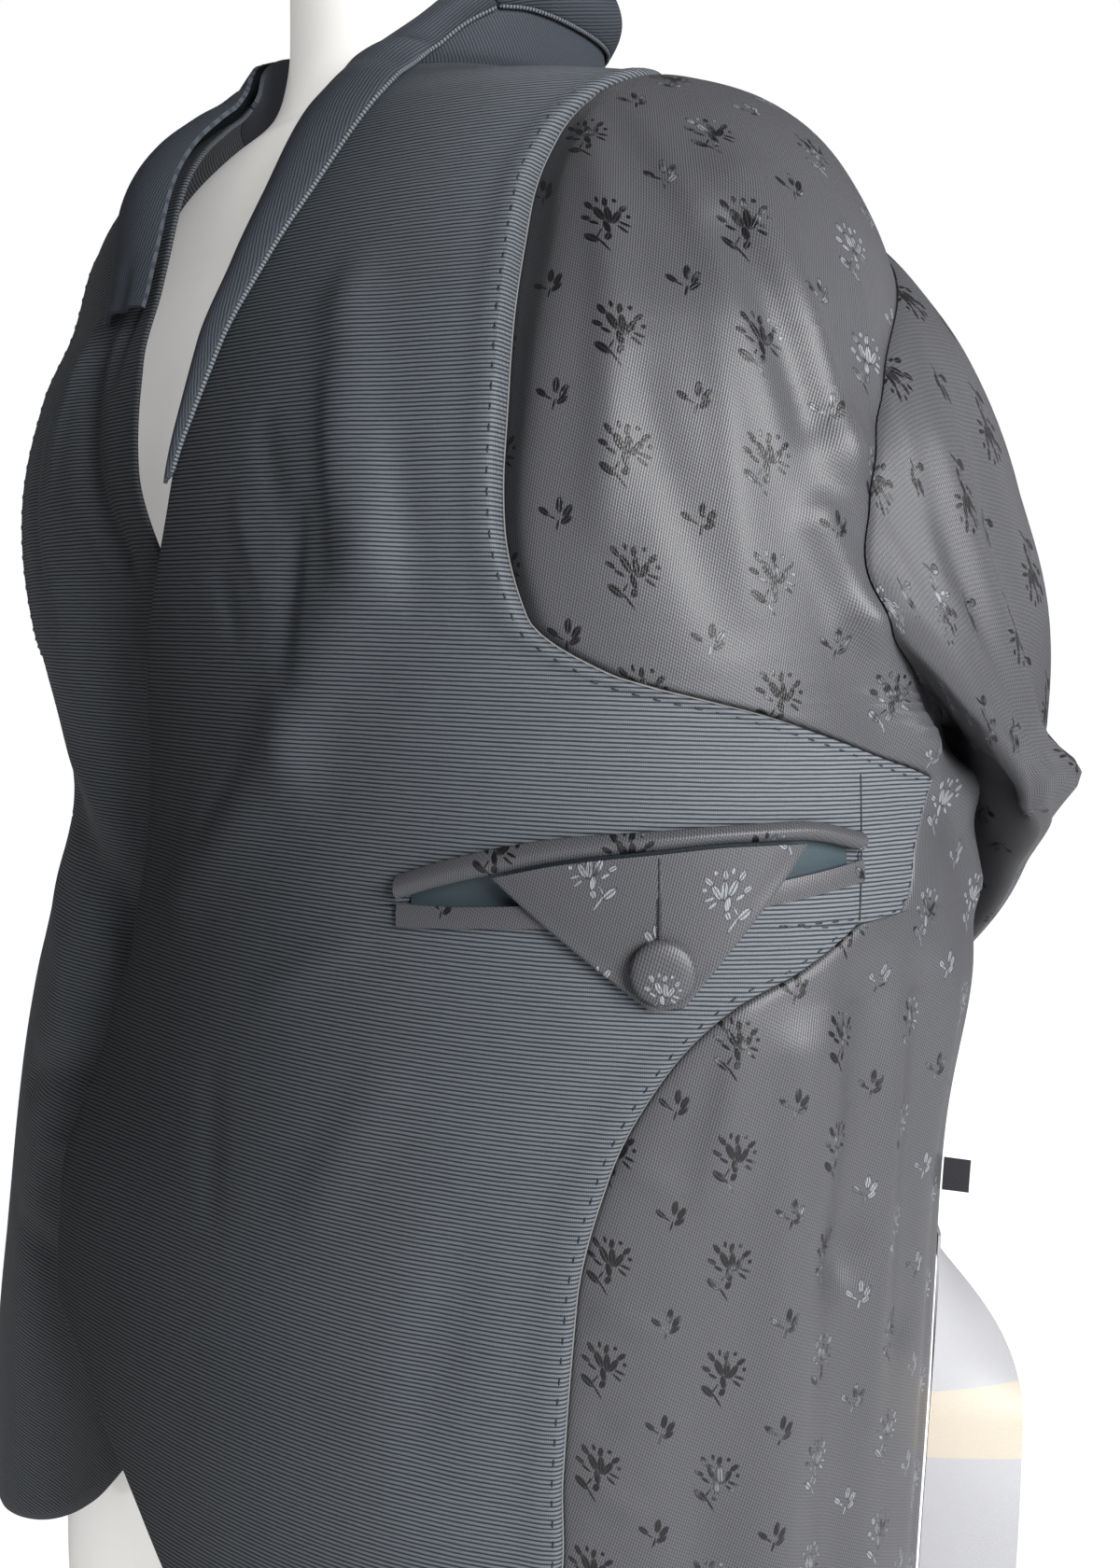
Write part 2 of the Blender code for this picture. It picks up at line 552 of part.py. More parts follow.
def refine(table, rows):
    """The same table read at evenly spaced rows."""
    number = np.arange(len(table))
    place = np.linspace(0, len(table) - 1, rows)
    return np.stack([monotone(place, number, values) for values in table.T], 1)


def build_roll(name, rough_table, rows, side, finish):
    """A rolled strip of outer cloth between the roll and its free edge."""
    table = refine(rough_table, rows)
    share = np.linspace(0, 1, ROLL_COLUMNS)
    angles = table[:, 0:1] * (1 - share) + table[:, 2:3] * share
    levels = table[:, 1:2] * (1 - share) + table[:, 3:4] * share
    swell = table[:, 4:5] * np.sin(np.pi * (ROLL_ARC[0] + ROLL_ARC[1] * share))
    return panel(name, angles, levels, side, finish, lift=ON_CLOTH + swell)


def build_pocket(lining, pocketing, cloth):
    """The breast pocket: two welts, the bag in its mouth, the flap and its button."""
    angles = np.linspace(POCKET[0, 0], POCKET[-1, 0], POCKET_COLUMNS)
    upper, mouth_top, mouth_low, lower = (column(POCKET, angles, index) for index in range(1, 5))
    share = np.linspace(0, 1, POCKET_ROWS)[:, None]
    half_gap = SEAM_GAP / 2

    def strip(name, bottom, top, wall, finish):
        return panel(name, angles[None, :], bottom + share * (top - bottom), LEFT, finish,
                     lift=ON_CLOTH, wall=wall)

    round_share = np.sin(np.pi * (WELT_ARC[0] + WELT_ARC[1] * share))
    strip("pocket_welt_upper", mouth_top + half_gap, upper, WELT_ROLL * round_share, cloth)
    strip("pocket_welt_lower", lower, mouth_low - half_gap, WELT_LOW, cloth)
    strip("pocket_bag", mouth_low + half_gap, mouth_top - half_gap, BAG_WALL, pocketing)

    across = np.linspace(0, 1, FLAP_COLUMNS)
    top_angle = FLAP_TOP_ANGLES[0] + across * (FLAP_TOP_ANGLES[1] - FLAP_TOP_ANGLES[0])
    top_level = column(POCKET, top_angle, 2) - 2 * SEAM_GAP
    tip_angle = FLAP_TIP[0][0] + across * (FLAP_TIP[1][0] - FLAP_TIP[0][0])
    tip_level = FLAP_TIP[0][1] + across * (FLAP_TIP[1][1] - FLAP_TIP[0][1])
    down = np.linspace(0, 1, FLAP_ROWS)[:, None]
    panel("pocket_flap", top_angle + down * (tip_angle - top_angle),
          top_level + down * (tip_level - top_level), LEFT, lining, lift=FLAP_LIFT, wall=FLAP_WALL)
    build_button(lining)


def build_button(finish):
    """The domed covered button on the flap."""
    angle, level = BUTTON_PLACE
    back = FLAP_LIFT + FLAP_WALL + SEAM_GAP
    centre = cloth_point(angle, level, back, LEFT)
    out = body_normal(np.array(angle), np.array(level), LEFT)
    right = np.cross((0.0, 0.0, 1.0), out)
    right /= np.linalg.norm(right)
    up = np.cross(out, right)
    turn = np.linspace(0, 2 * np.pi, BUTTON_SIDES, endpoint=False)
    spokes = np.cos(turn)[:, None] * right + np.sin(turn)[:, None] * up
    rings = centre + BUTTON[:, 0, None, None] * spokes + BUTTON[:, 1, None, None] * out
    build_turned("pocket_button", rings, finish)


def build_turned(name, rings, finish):
    """A closed body through a stack of rings, with a flat face at each end."""
    rows, sides = rings.shape[:2]
    faces = grid_faces(rows, sides, 0, closed=True)
    faces.append(tuple(range(sides)))
    faces.append(tuple(range((rows - 1) * sides, rows * sides)))
    return add_body(name, rings.reshape(-1, 3), faces, finish)


def build_labels(dark, white):
    """The blank tab and the long blank label in the left side seam."""
    angle, low, high, reach, thickness = TAB_LABEL
    levels = np.linspace(low, high, TAB_ROWS)[:, None]
    lifts = np.linspace(LABEL_ROOT, LABEL_ROOT + reach, TAB_COLUMNS)[None, :]
    half = thickness / 2 / SIDE_DEGREE
    cloth_wall("tab_label", cloth_point(angle + half, levels, lifts, LEFT),
               cloth_point(angle - half, levels, lifts, LEFT), dark)
    down = np.linspace(0, 1, CARE_ROWS)[:, None]
    out = np.linspace(0, 1, CARE_COLUMNS)[None, :]
    turn = np.radians(CARE_TURN) * smooth(down / CARE_TURN_SHARE)
    levels = CARE_TOP - CARE_LENGTH * down
    sway = CARE_SWAY * np.sin(np.pi * CARE_WAVES * down) * out
    skins = []
    for half in (CARE_WALL / 2, -CARE_WALL / 2):
        along = out * CARE_WIDTH * np.cos(turn) - half * np.sin(turn)
        lift = LABEL_ROOT + CARE_WALL / 2 + out * CARE_WIDTH * np.sin(turn) + half * np.cos(turn)
        skins.append(cloth_point(CARE_ANGLE + (along + sway) / SIDE_DEGREE, levels, lift, LEFT))
    cloth_wall("care_label", skins[0], skins[1], white)


def build_dress_form(finish):
    """The smooth limbless form, with a flat foot and a rounded neck."""
    turn = np.linspace(0, 2 * np.pi, FORM_SIDES, endpoint=False)[None, :]
    height, half_width, half_depth, centre_y, squareness = (
        FORM[:, index:index + 1] for index in range(5))
    radius = oval_radius(turn, half_width, half_depth, squareness)
    nape = NAPE_RISE * np.clip(np.sin(turn), 0, 1) ** 2 * smooth((height - NAPE_START) / NAPE_SPAN)
    rings = np.stack([radius * np.cos(turn), centre_y + radius * np.sin(turn), height + nape], -1)
    rings[-FORM_CAP_ROWS:, :, 2] -= nape[-FORM_CAP_ROWS:] - NAPE_RISE / 2
    build_turned("dress_form", rings, finish)


def main():
    """Build every piece of the jacket and the form that carries it."""
    for old in list(bpy.data.objects):
        bpy.data.objects.remove(old, do_unlink=True)
    ribbed = material("ribbed_facing", (.060, .075, .088), .48)
    lining = material("floral_lining", (.120, .125, .140), .36)
    cloth = material("outer_cloth", (.080, .092, .112), .62)
    pocketing = material("pocketing", (.040, .075, .100), .60)
    dark_tape = material("dark_tape", (.020, .020, .026), .60)
    white_tape = material("white_tape", (.780, .770, .740), .60)
    gloss_white = material("gloss_white", (.800, .790, .770), .18)

    build_dress_form(gloss_white)
    for side in (LEFT, RIGHT):
        build_facing(side, ribbed)
        build_front_lining(side, lining)
        build_sleeve(side, lining, cloth)
    build_back_lining(lining)
    build_hem_bands(cloth)
    build_collar_stand(cloth)
    build_roll("lapel_roll_left", ROLL_LEFT, ROLL_ROWS[LEFT], LEFT, cloth)
    build_roll("lapel_roll_right", ROLL_RIGHT, ROLL_ROWS[RIGHT], RIGHT, cloth)
    build_roll("collar_fall", COLLAR_FALL, FALL_ROWS, LEFT, cloth)
    build_pocket(lining, pocketing, cloth)
    build_labels(dark_tape, white_tape)


main()
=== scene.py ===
"""Tuxedo jacket, worn inside out on a smooth limbless dress form: its cloth and finish.

Every cloth piece lies on one body surface round an upright axis. A place on it is an
own-side angle in degrees (0 at the side, -90 at the centre front, 90 at the centre
back), a level in metres (the height before the cutaway lifts the hem) and a lift off
the surface. The left half is at +X, and the right half mirrors it.
Metres, +Z up, the front faces -Y.
"""
import logging
from dataclasses import dataclass
from enum import Enum

import bpy
import numpy as np
from mathutils import Matrix


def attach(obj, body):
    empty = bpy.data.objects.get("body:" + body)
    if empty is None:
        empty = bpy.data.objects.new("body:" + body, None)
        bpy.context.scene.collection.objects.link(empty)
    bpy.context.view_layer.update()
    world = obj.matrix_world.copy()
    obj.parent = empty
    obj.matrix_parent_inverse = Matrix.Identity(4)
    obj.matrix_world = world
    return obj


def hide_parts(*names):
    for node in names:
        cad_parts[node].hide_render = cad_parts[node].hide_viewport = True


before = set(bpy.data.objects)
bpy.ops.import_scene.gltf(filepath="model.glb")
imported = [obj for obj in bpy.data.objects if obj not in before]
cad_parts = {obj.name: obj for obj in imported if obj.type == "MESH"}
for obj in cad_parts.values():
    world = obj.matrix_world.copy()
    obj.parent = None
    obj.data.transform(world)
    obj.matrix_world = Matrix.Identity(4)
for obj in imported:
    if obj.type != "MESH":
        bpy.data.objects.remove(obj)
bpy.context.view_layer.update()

log = logging.getLogger("jacket")
Array = np.ndarray

# ------------------------------------------------------------------ sizes and tables
WALL = 0.0016
SEAM_GAP = 0.0004
ON_CLOTH = WALL + SEAM_GAP          # lift of a piece that lies on a panel
ROW_STEP, COLUMN_STEP = 0.0030, 0.0030
CHARTED_LEVEL = 0.620               # above it the cloth's own length is measured
ASKEW = (0.31, 0.17, 0.93)          # a direction that no thread runs in
TUBE_END = 0.02                     # radius of a tube's first and last ring, as a share

# The right front passes under the left one, below the crossing of their edges
TUCK = 0.0108
TUCK_ANGLES = (-48.0, -70.0)
TUCK_LEVELS = (0.475, 0.530)

# Body surface: level, half width, half depth, centre x, centre y, squareness
BODY = np.array([
    (.040, .222, .146, .000, .000, 2.30),
    (.120, .222, .144, .000, .000, 2.30),
    (.220, .220, .141, .002, .003, 2.30),
    (.320, .217, .136, .004, .005, 2.30),
    (.400, .213, .132, .005, .004, 2.30),
    (.480, .211, .132, .002, -.003, 2.30),
    (.530, .209, .129, .000, -.006, 2.25),
    (.570, .205, .120, .000, -.006, 2.20),
    (.601, .198, .107, .000, -.004, 2.10),
    (.630, .184, .093, .000, -.003, 2.05),
    (.656, .158, .083, .000, -.002, 2.00),
    (.666, .130, .078, .000, -.001, 2.00),
    (.671, .104, .075, .000, -.001, 2.00),
    (.676, .084, .073, .000, -.002, 2.00),
    (.684, .071, .070, .000, -.004, 2.00),
    (.706, .066, .066, .000, -.008, 2.00),
    (.736, .067, .067, .000, -.008, 2.00)])

# Broad swells and hollows: polar angle, level, spread in degrees, spread in height, depth
SWELLS = np.array([
    (-137, .405, 40, .070, -.0155),
    (25, .370, 24, .045, .0120),
    (-135, .640, 38, .032, .0160)])

# Cutaway: degrees past the side towards the front, lift of the hem
CUTAWAY = np.array([
    (0, .000), (20, .012), (40, .034), (60, .052), (75, .078),
    (86, .106), (94, .126), (102, .146), (108, .158), (115, .160)])

# Front edges: level, angle on the left front, angle on the right front
FRONT_EDGE = np.array([
    (.060, -108.0, -108.0), (.200, -108.5, -108.5), (.260, -108.5, -108.5),
    (.300, -108.0, -108.0), (.360, -106.0, -106.0), (.403, -103.0, -103.0),
    (.440, -98.0, -98.0), (.469, -94.0, -94.0), (.486, -90.5, -90.0),
    (.519, -85.0, -87.0), (.561, -82.0, -81.0), (.605, -81.0, -73.0),
    (.653, -76.0, -69.0), (.676, -68.0, -66.0)])

# Seam between facing and lining, with the pocket tab: level, angle
FACING_SEAM = np.array([
    (.060, -30.0), (.178, -30.0), (.208, -30.5), (.269, -30.2), (.312, -28.0),
    (.344, -23.8), (.366, -18.0), (.376, -12.5), (.387, -7.5), (.3895, -6.5),
    (.3915, -1.0), (.412, 2.0), (.433, 4.8), (.4345, 3.6), (.444, -5.0),
    (.454, -14.8), (.465, -27.5), (.481, -34.2), (.509, -35.8), (.553, -35.2),
    (.583, -34.2), (.613, -32.2), (.637, -27.8), (.649, -23.0), (.658, -17.0),
    (.665, -9.0), (.671, 3.0), (.676, 13.0)])

# How the lining sinks at the left facing's seam: level, depth, width of the hollow
SEAM_SINK = np.array([
    (.440, .0000, .0040), (.480, .0020, .0045), (.510, .0040, .0060), (.550, .0052, .0085),
    (.600, .0056, .0125), (.630, .0034, .0110), (.650, .0000, .0080)])
LEAST_SINK = 0.0007
RIGHT_SINK = 0.45                   # depth at the right facing's seam, as a share of the left one's

# Side seam, armhole and shoulder seam: level, front panel's edge, back panel's edge
SIDE_EDGE = np.array([
    (.060, 22.0, 22.0), (.450, 22.0, 22.0), (.4535, 17.5, 26.5), (.458, 12.0, 30.0),
    (.464, 6.0, 33.5), (.472, 0.6, 36.5), (.484, -3.4, 39.0), (.500, -4.2, 40.8),
    (.524, -2.6, 40.8), (.548, -0.6, 38.8), (.570, 2.4, 34.5), (.588, 6.2, 29.0),
    (.602, 10.0, 23.0), (.611, 13.0, 17.5), (.615, 14.0, 14.0), (.676, 14.0, 14.0)])
ARMHOLE_BOTTOM, ARMHOLE_TOP = 0.450, 0.615

# Folds and creases: side (1 left, -1 right), angle and level at the start, angle and
# level at the end, half width before and after the line, height (below 0 a trough)
FOLDS = np.array([
    (1, -12.7, .615, -5.2, .536, .0120, .0120, .0040),
    (1, -5.2, .536, 2.2, .450, .0120, .0120, .0040),
    (1, -15.0, .598, -9.5, .543, .0080, .0080, -.0025),
    (1, -8.5, .513, -4.5, .483, .0080, .0080, .0040),
    (1, -4.5, .483, 1.5, .448, .0090, .0090, .0045),
    (1, 4.0, .442, 12.0, .428, .0100, .0100, .0050),
    (1, 12.0, .430, 15.2, .396, .0100, .0100, .0060),
    (1, -5.0, .365, -6.2, .280, .0110, .0110, -.0045),
    (1, -6.2, .280, -5.0, .120, .0120, .0120, -.0040),
    (1, 2.5, .365, 3.5, .250, .0090, .0090, -.0035),
    (1, -12.0, .350, -13.0, .140, .0120, .0120, .0035),
    (1, -53.5, .578, -49.0, .500, .0140, .0140, .0030),
    (1, -49.0, .500, -63.0, .438, .0160, .0160, .0035),
    (1, -63.0, .438, -88.0, .385, .0160, .0160, .0030),
    (-1, -60.0, .578, -76.0, .505, .0120, .0120, -.0050),
    (-1, -30.0, .402, -70.0, .356, .0140, .0140, -.0060),
    (-1, -46.0, .280, -68.0, .306, .0120, .0120, -.0030),
    (-1, -13.0, .600, -8.0, .485, .0130, .0130, .0040),
    (-1, 4.0, .440, 13.0, .400, .0100, .0100, .0050),
    (-1, -4.0, .350, -6.0, .120, .0120, .0120, -.0040),
    (-1, -16.0, .330, -14.0, .130, .0120, .0120, .0030),
    (1, 44.0, .570, 58.0, .480, .0160, .0160, .0040),
    (-1, 45.0, .580, 60.0, .470, .0160, .0160, .0040),
    (1, 36.0, .300, 38.0, .100, .0180, .0180, .0050),
    (-1, 35.0, .280, 37.0, .100, .0180, .0180, .0050),
    (1, 76.0, .260, 75.0, .100, .0160, .0160, -.0045),
    (-1, 74.0, .280, 76.0, .100, .0160, .0160, -.0045)])

# Finer creases, written as the folds are; they rise and sink again along their length
CREASES = np.array([
    # the left body lining
    (1, -24.0, .648, -27.5, .500, .0060, .0080, .0022),
    (1, -21.0, .655, -11.0, .520, .0050, .0090, .0020),
    (1, -17.5, .610, -15.5, .480, .0060, .0080, .0012),
    (1, -24.5, .560, -17.5, .470, .0070, .0090, -.0013),
    (1, -9.0, .600, 0.5, .480, .0040, .0060, -.0017),
    (1, -3.0, .610, 2.0, .500, .0035, .0060, .0015),
    (1, -17.0, .372, -20.5, .300, .0050, .0090, .0017),
    (1, -9.5, .378, -9.0, .300, .0050, .0070, .0012),
    (1, -1.0, .375, -1.5, .210, .0060, .0060, .0018),
    (1, 8.0, .380, 7.5, .290, .0060, .0080, .0016),
    (1, 11.5, .360, 10.5, .120, .0070, .0070, -.0018),
    (1, -20.0, .250, -18.5, .100, .0080, .0100, -.0014),
    (1, -29.0, .268, -22.5, .262, .0035, .0045, .0012),
    (1, -29.0, .208, -23.5, .201, .0035, .0045, .0011),
    (1, -29.3, .232, -26.0, .229, .0028, .0035, -.0008),
    (1, -28.0, .318, -22.0, .308, .0040, .0050, .0010),
    (1, -29.2, .160, -24.0, .156, .0035, .0045, .0010),
    # the left facing: a soft roll, the hollow before it and slack across the chest
    (1, -55.0, .560, -52.0, .490, .0050, .0100, .0016),
    (1, -58.0, .520, -62.5, .455, .0080, .0060, -.0022),
    (1, -46.0, .540, -44.5, .480, .0070, .0090, -.0016),
    (1, -66.0, .545, -60.0, .505, .0080, .0080, -.0014),
    (1, -70.0, .520, -64.0, .485, .0060, .0080, .0012),
    (1, -74.0, .498, -70.0, .470, .0060, .0080, -.0012),
    (1, -70.0, .436, -86.0, .400, .0060, .0080, -.0016),
    (1, -52.0, .378, -70.0, .352, .0080, .0080, .0012),
    (1, -48.0, .340, -60.0, .270, .0100, .0120, .0012),
    (1, -78.0, .330, -74.0, .240, .0100, .0100, -.0012),
    (1, -40.0, .300, -44.0, .180, .0120, .0120, -.0012),
    # the right front
    (-1, -66.0, .610, -72.5, .560, .0060, .0090, -.0022),
    (-1, -52.0, .600, -57.0, .520, .0080, .0080, .0018),
    (-1, -45.0, .560, -50.0, .470, .0090, .0090, -.0018),
    (-1, -35.0, .430, -62.0, .392, .0090, .0090, .0020),
    (-1, -28.0, .372, -55.0, .330, .0080, .0100, .0016),
    (-1, -52.0, .250, -75.0, .262, .0080, .0080, .0016),
    (-1, -45.0, .210, -66.0, .190, .0090, .0090, -.0014),
    (-1, -20.0, .560, -14.0, .470, .0060, .0080, -.0014),
    (-1, -22.0, .330, -24.0, .200, .0080, .0080, .0014),
    (-1, 10.0, .380, 9.0, .150, .0080, .0080, -.0020),
    # the back
    (1, 60.0, .600, 66.0, .520, .0090, .0120, .0016),
    (1, 70.0, .430, 62.0, .380, .0080, .0100, -.0018),
    (-1, 66.0, .430, 58.0, .370, .0080, .0100, -.0018),
    (-1, 62.0, .610, 68.0, .530, .0090, .0120, .0014),
    (1, 55.0, .250, 57.0, .110, .0090, .0120, .0020),
    (-1, 52.0, .240, 55.0, .110, .0090, .0120, -.0018)])

# Back ease pleat: half width in degrees, height, lowest and highest level, fade
PLEAT_SPREAD, PLEAT_HEIGHT, PLEAT_FADE = 2.6, 0.0040, 0.040
PLEAT_LEVELS = (0.100, 0.655)

# Sleeve tube: angle, level, tilt in degrees, half width, thickness
SLEEVE = np.array([
    (27.0, .4480, 25.0, .068, .0395), (38.5, .4200, 34.0, .064, .0325),
    (48.5, .3880, 36.0, .062, .0300), (57.0, .3500, 26.0, .061, .0280),
    (61.5, .3000, 12.0, .060, .0275), (62.5, .2450, 3.0, .059, .0265),
    (62.5, .1870, 0.0, .058, .0260), (62.5, .1254, 0.0, .057, .0260)])
CUFF = np.array([(62.5, .1250, 0.0, .057, .0260), (62.5, .0980, 0.0, .057, .0264)])
HEAD_STATIONS = np.array([0.0, .10, .24, .42, .62, .82, 1.0])
HEAD_RIMS = (0.0019, 0.0003)        # how far the outer and inner skins start past the armhole

# Sleeve troughs: degrees round the tube, turn along it, row at the start, row at the end,
# half width in degrees, depth (below 0 a ridge)
SLEEVE_FOLDS = np.array([
    (128, 0, 2, 8, 17, .0080), (66, 0, 4, 10, 15, .0050), (95, 0, 8, 15, 16, .0045),
    (150, 8, 1, 5, 8, .0022), (110, -10, 3, 7, 7, -.0016), (86, 6, 6, 11, 7, .0018),
    (40, 10, 7, 12, 9, .0016), (140, -6, 7, 13, 9, .0018), (60, -5, 10, 14, 7, -.0012),
    (250, 8, 5, 12, 12, .0022), (300, -8, 6, 13, 10, .0020),
    (118, 12, 0.6, 6, 6, .0020), (137, 10, 1, 7, 6, -.0016), (156, 8, 2, 9, 6, .0020),
    (173, 4, 3, 10, 5, .0014), (120, -14, 6, 11, 6, .0020), (143, -9, 5, 10, 5, -.0014)])
SLEEVE_FOLD_FADE = 2.0

# Seam threads: angle and level. The neck's and the shoulders' fill their gaps
TAB_SEAM = ((-5.6, .4365), (-6.1, .4150), (-6.6, .3905))
SHOULDER_SEAM = ((14.0, .6160), (14.0, .6755))
NECK_SEAM_ANGLES = range(-65, 246, 10)
SEAM_FILL = 0.00060                 # radius of a thread that fills a gap

# Top of the collar stand: angle on the left half's scale, level
STAND_TOP = np.array([
    (-66, .6785), (-60, .6850), (-48, .6950), (-36, .7070), (-20, .7160), (0, .7210),
    (30, .7250), (90, .7280), (150, .7250), (180, .7210), (200, .7160), (216, .7070),
    (228, .6980), (238, .6900), (246, .6785)])

# Rolled edge: angle and level at the roll, angle and level at the free edge, swell
ROLL_LEFT = np.array([
    (-84.6, .5240, -83.4, .5265, .0006), (-82.2, .5550, -79.3, .5510, .0020),
    (-81.4, .5800, -76.0, .5750, .0030), (-81.0, .6050, -72.3, .6030, .0036),
    (-79.0, .6330, -67.0, .6260, .0042), (-75.6, .6540, -61.5, .6440, .0046),
    (-71.5, .6670, -56.0, .6590, .0048), (-67.6, .6765, -51.5, .6720, .0050),
    (-60.5, .6835, -46.0, .6815, .0050), (-48.0, .6940, -35.5, .6930, .0050),
    (-36.2, .7062, -24.4, .7015, .0050)])
ROLL_RIGHT = np.array([
    (-75.0, .5900, -58.0, .5900, .0050), (-72.8, .6050, -56.0, .6040, .0060),
    (-70.6, .6300, -53.0, .6260, .0066), (-69.0, .6520, -50.0, .6450, .0066),
    (-67.2, .6680, -47.0, .6590, .0062), (-65.8, .6765, -44.5, .6700, .0060),
    (-57.0, .6890, -40.0, .6810, .0055), (-47.0, .6990, -34.0, .6890, .0050),
    (-36.2, .7062, -26.4, .6950, .0050)])
COLLAR_FALL = np.array([
    (-35.8, .7066, -24.0, .7018, .0050), (-20.0, .7155, -12.0, .7040, .0050),
    (0.0, .7205, 3.0, .7045, .0050), (30.0, .7245, 31.0, .7050, .0046),
    (60.0, .7270, 60.0, .7055, .0044), (90.0, .7275, 90.0, .7060, .0044),
    (120.0, .7270, 120.0, .7055, .0044), (150.0, .7245, 149.0, .7050, .0046),
    (180.0, .7205, 177.0, .7045, .0050), (200.0, .7155, 192.0, .7000, .0050),
    (215.8, .7066, 206.0, .6954, .0050)])

# Breast pocket: angle, then the levels of the upper welt's top, the mouth's top,
# the mouth's bottom and the lower welt's bottom
POCKET = np.array([
    (-48.2, .4005, .3925, .3915, .3840), (-43.0, .4065, .3985, .3922, .3852),
    (-38.0, .4115, .4035, .3937, .3868), (-32.0, .4160, .4090, .3960, .3885),
    (-25.0, .4190, .4130, .3990, .3915), (-18.0, .4215, .4160, .4025, .3955),
    (-12.5, .4225, .4165, .4060, .3990), (-6.3, .4185, .4125, .4100, .4030)])
# Covered button: radius, height above its back
BUTTON = np.array([
    (.0001, .0000), (.0082, .0000), (.0098, .0008), (.0100, .0022), (.0093, .0035),
    (.0075, .0044), (.0045, .0049), (.0018, .0050), (.0001, .0050)])

# Dress form: height, half width, half depth, centre y, squareness
FORM = np.array([
    (.0000, .172, .112, .000, 2.20), (.0060, .177, .117, .000, 2.20),
    (.0700, .184, .124, .000, 2.20), (.1600, .186, .124, .001, 2.20),
    (.2500, .178, .114, .002, 2.20), (.3400, .164, .098, .001, 2.20),
    (.4200, .166, .099, -.002, 2.20), (.4900, .179, .108, -.005, 2.20),
    (.5400, .188, .112, -.006, 2.15), (.5750, .187, .103, -.005, 2.10),
    (.6020, .182, .093, -.004, 2.05), (.6280, .172, .083, -.003, 2.00),
    (.6549, .155, .076, -.002, 2.00), (.6651, .128, .073, -.001, 2.00),
    (.6701, .102, .070, -.001, 2.00), (.6750, .081, .067, -.002, 2.00),
    (.6850, .063, .062, -.006, 2.00), (.7050, .056, .057, -.010, 2.00),
    (.7450, .054, .055, -.014, 2.00), (.7850, .054, .055, -.016, 2.00),
    (.7950, .050, .051, -.016, 2.00), (.8000, .041, .042, -.016, 2.00)])


class Side(Enum):
    """A half of the jacket, with the sign that mirrors its angles."""

    LEFT = 1
    RIGHT = -1

    @property
    def word(self) -> str:
        """The half's name in small letters."""
        return self.name.lower()


# ------------------------------------------------------------------ curves and easing
def monotone(x: Array, xs: Array, ys: Array) -> Array:
    """Read a smooth curve through rows: a cubic between them that never overshoots.

    Args:
        x: places to read.
        xs: rising places of the rows.
        ys: values of the rows.

    Returns:
        The values at x; outside the rows the end value is kept.
    """
    step = np.diff(xs)
    slope = np.diff(ys) / step
    before, after = slope[:-1], slope[1:]
    same_way = before * after > 0
    first, second = 2 * step[1:] + step[:-1], step[1:] + 2 * step[:-1]
    mean = (first + second) / (first / np.where(same_way, before, 1) + second / np.where(same_way, after, 1))
    tangent = np.concatenate([slope[:1], np.where(same_way, mean, 0), slope[-1:]])
    x = np.clip(x, xs[0], xs[-1])
    row = np.clip(np.searchsorted(xs, x, side="right") - 1, 0, len(step) - 1)
    t = (x - xs[row]) / step[row]
    return ((1 + 2 * t) * (1 - t) ** 2 * ys[row] + t * (1 - t) ** 2 * step[row] * tangent[row]
            + t * t * (3 - 2 * t) * ys[row + 1] + t * t * (t - 1) * step[row] * tangent[row + 1])


def column(table: Array, x: Array, index: int) -> Array:
    """Read one column of a table at x, on the scale of its first column.

    Args:
        table: rows of values, the first column rising.
        x: places to read.
        index: the column.

    Returns:
        The column's values at x.
    """
    return monotone(x, table[:, 0], table[:, index])


def refine(table: Array, rows: int) -> Array:
    """Read a whole table again at evenly spaced rows.

    Args:
        table: rows of values.
        rows: how many rows are wanted.

    Returns:
        The finer table.
    """
    number = np.arange(len(table))
    place = np.linspace(0, len(table) - 1, rows)
    return np.stack([monotone(place, number, values) for values in table.T], 1)


def smooth(t: Array) -> Array:
    """Ease from 0 to 1 as t does: three t squared less two t cubed."""
    t = np.clip(t, 0, 1)
    return t * t * (3 - 2 * t)


def oval_radius(angle: Array, half_width: Array, half_depth: Array, squareness: Array) -> Array:
    """Radius of a rounded oval: the powers of cosine over width and sine over depth add to 1.

    Args:
        angle: polar angle in radians.
        half_width: half of the oval's width.
        half_depth: half of its depth.
        squareness: the power, 2 for an ellipse.

    Returns:
        The distance from the centre.
    """
    across = np.abs(np.cos(angle) / half_width) ** squareness
    along = np.abs(np.sin(angle) / half_depth) ** squareness
    return (across + along) ** (-1 / squareness)


def row_lengths(points: Array) -> Array:
    """Length run along each row of a grid of points, from its first column.

    Args:
        points: a grid of shape (rows, columns, 3).

    Returns:
        Lengths of shape (rows, columns).
    """
    step = np.linalg.norm(np.diff(points, axis=1), axis=-1)
    return np.concatenate([np.zeros((len(points), 1)), np.cumsum(step, 1)], 1)


def run_along(path: Array) -> Array:
    """Length run along a path of points, from its first point."""
    return np.concatenate([[0], np.cumsum(np.linalg.norm(np.diff(path, axis=0), axis=1))])


def paired(first: Array, second: Array) -> Array:
    """Two arrays, spread to one shape, side by side in a last axis."""
    return np.stack(np.broadcast_arrays(first, second), -1)


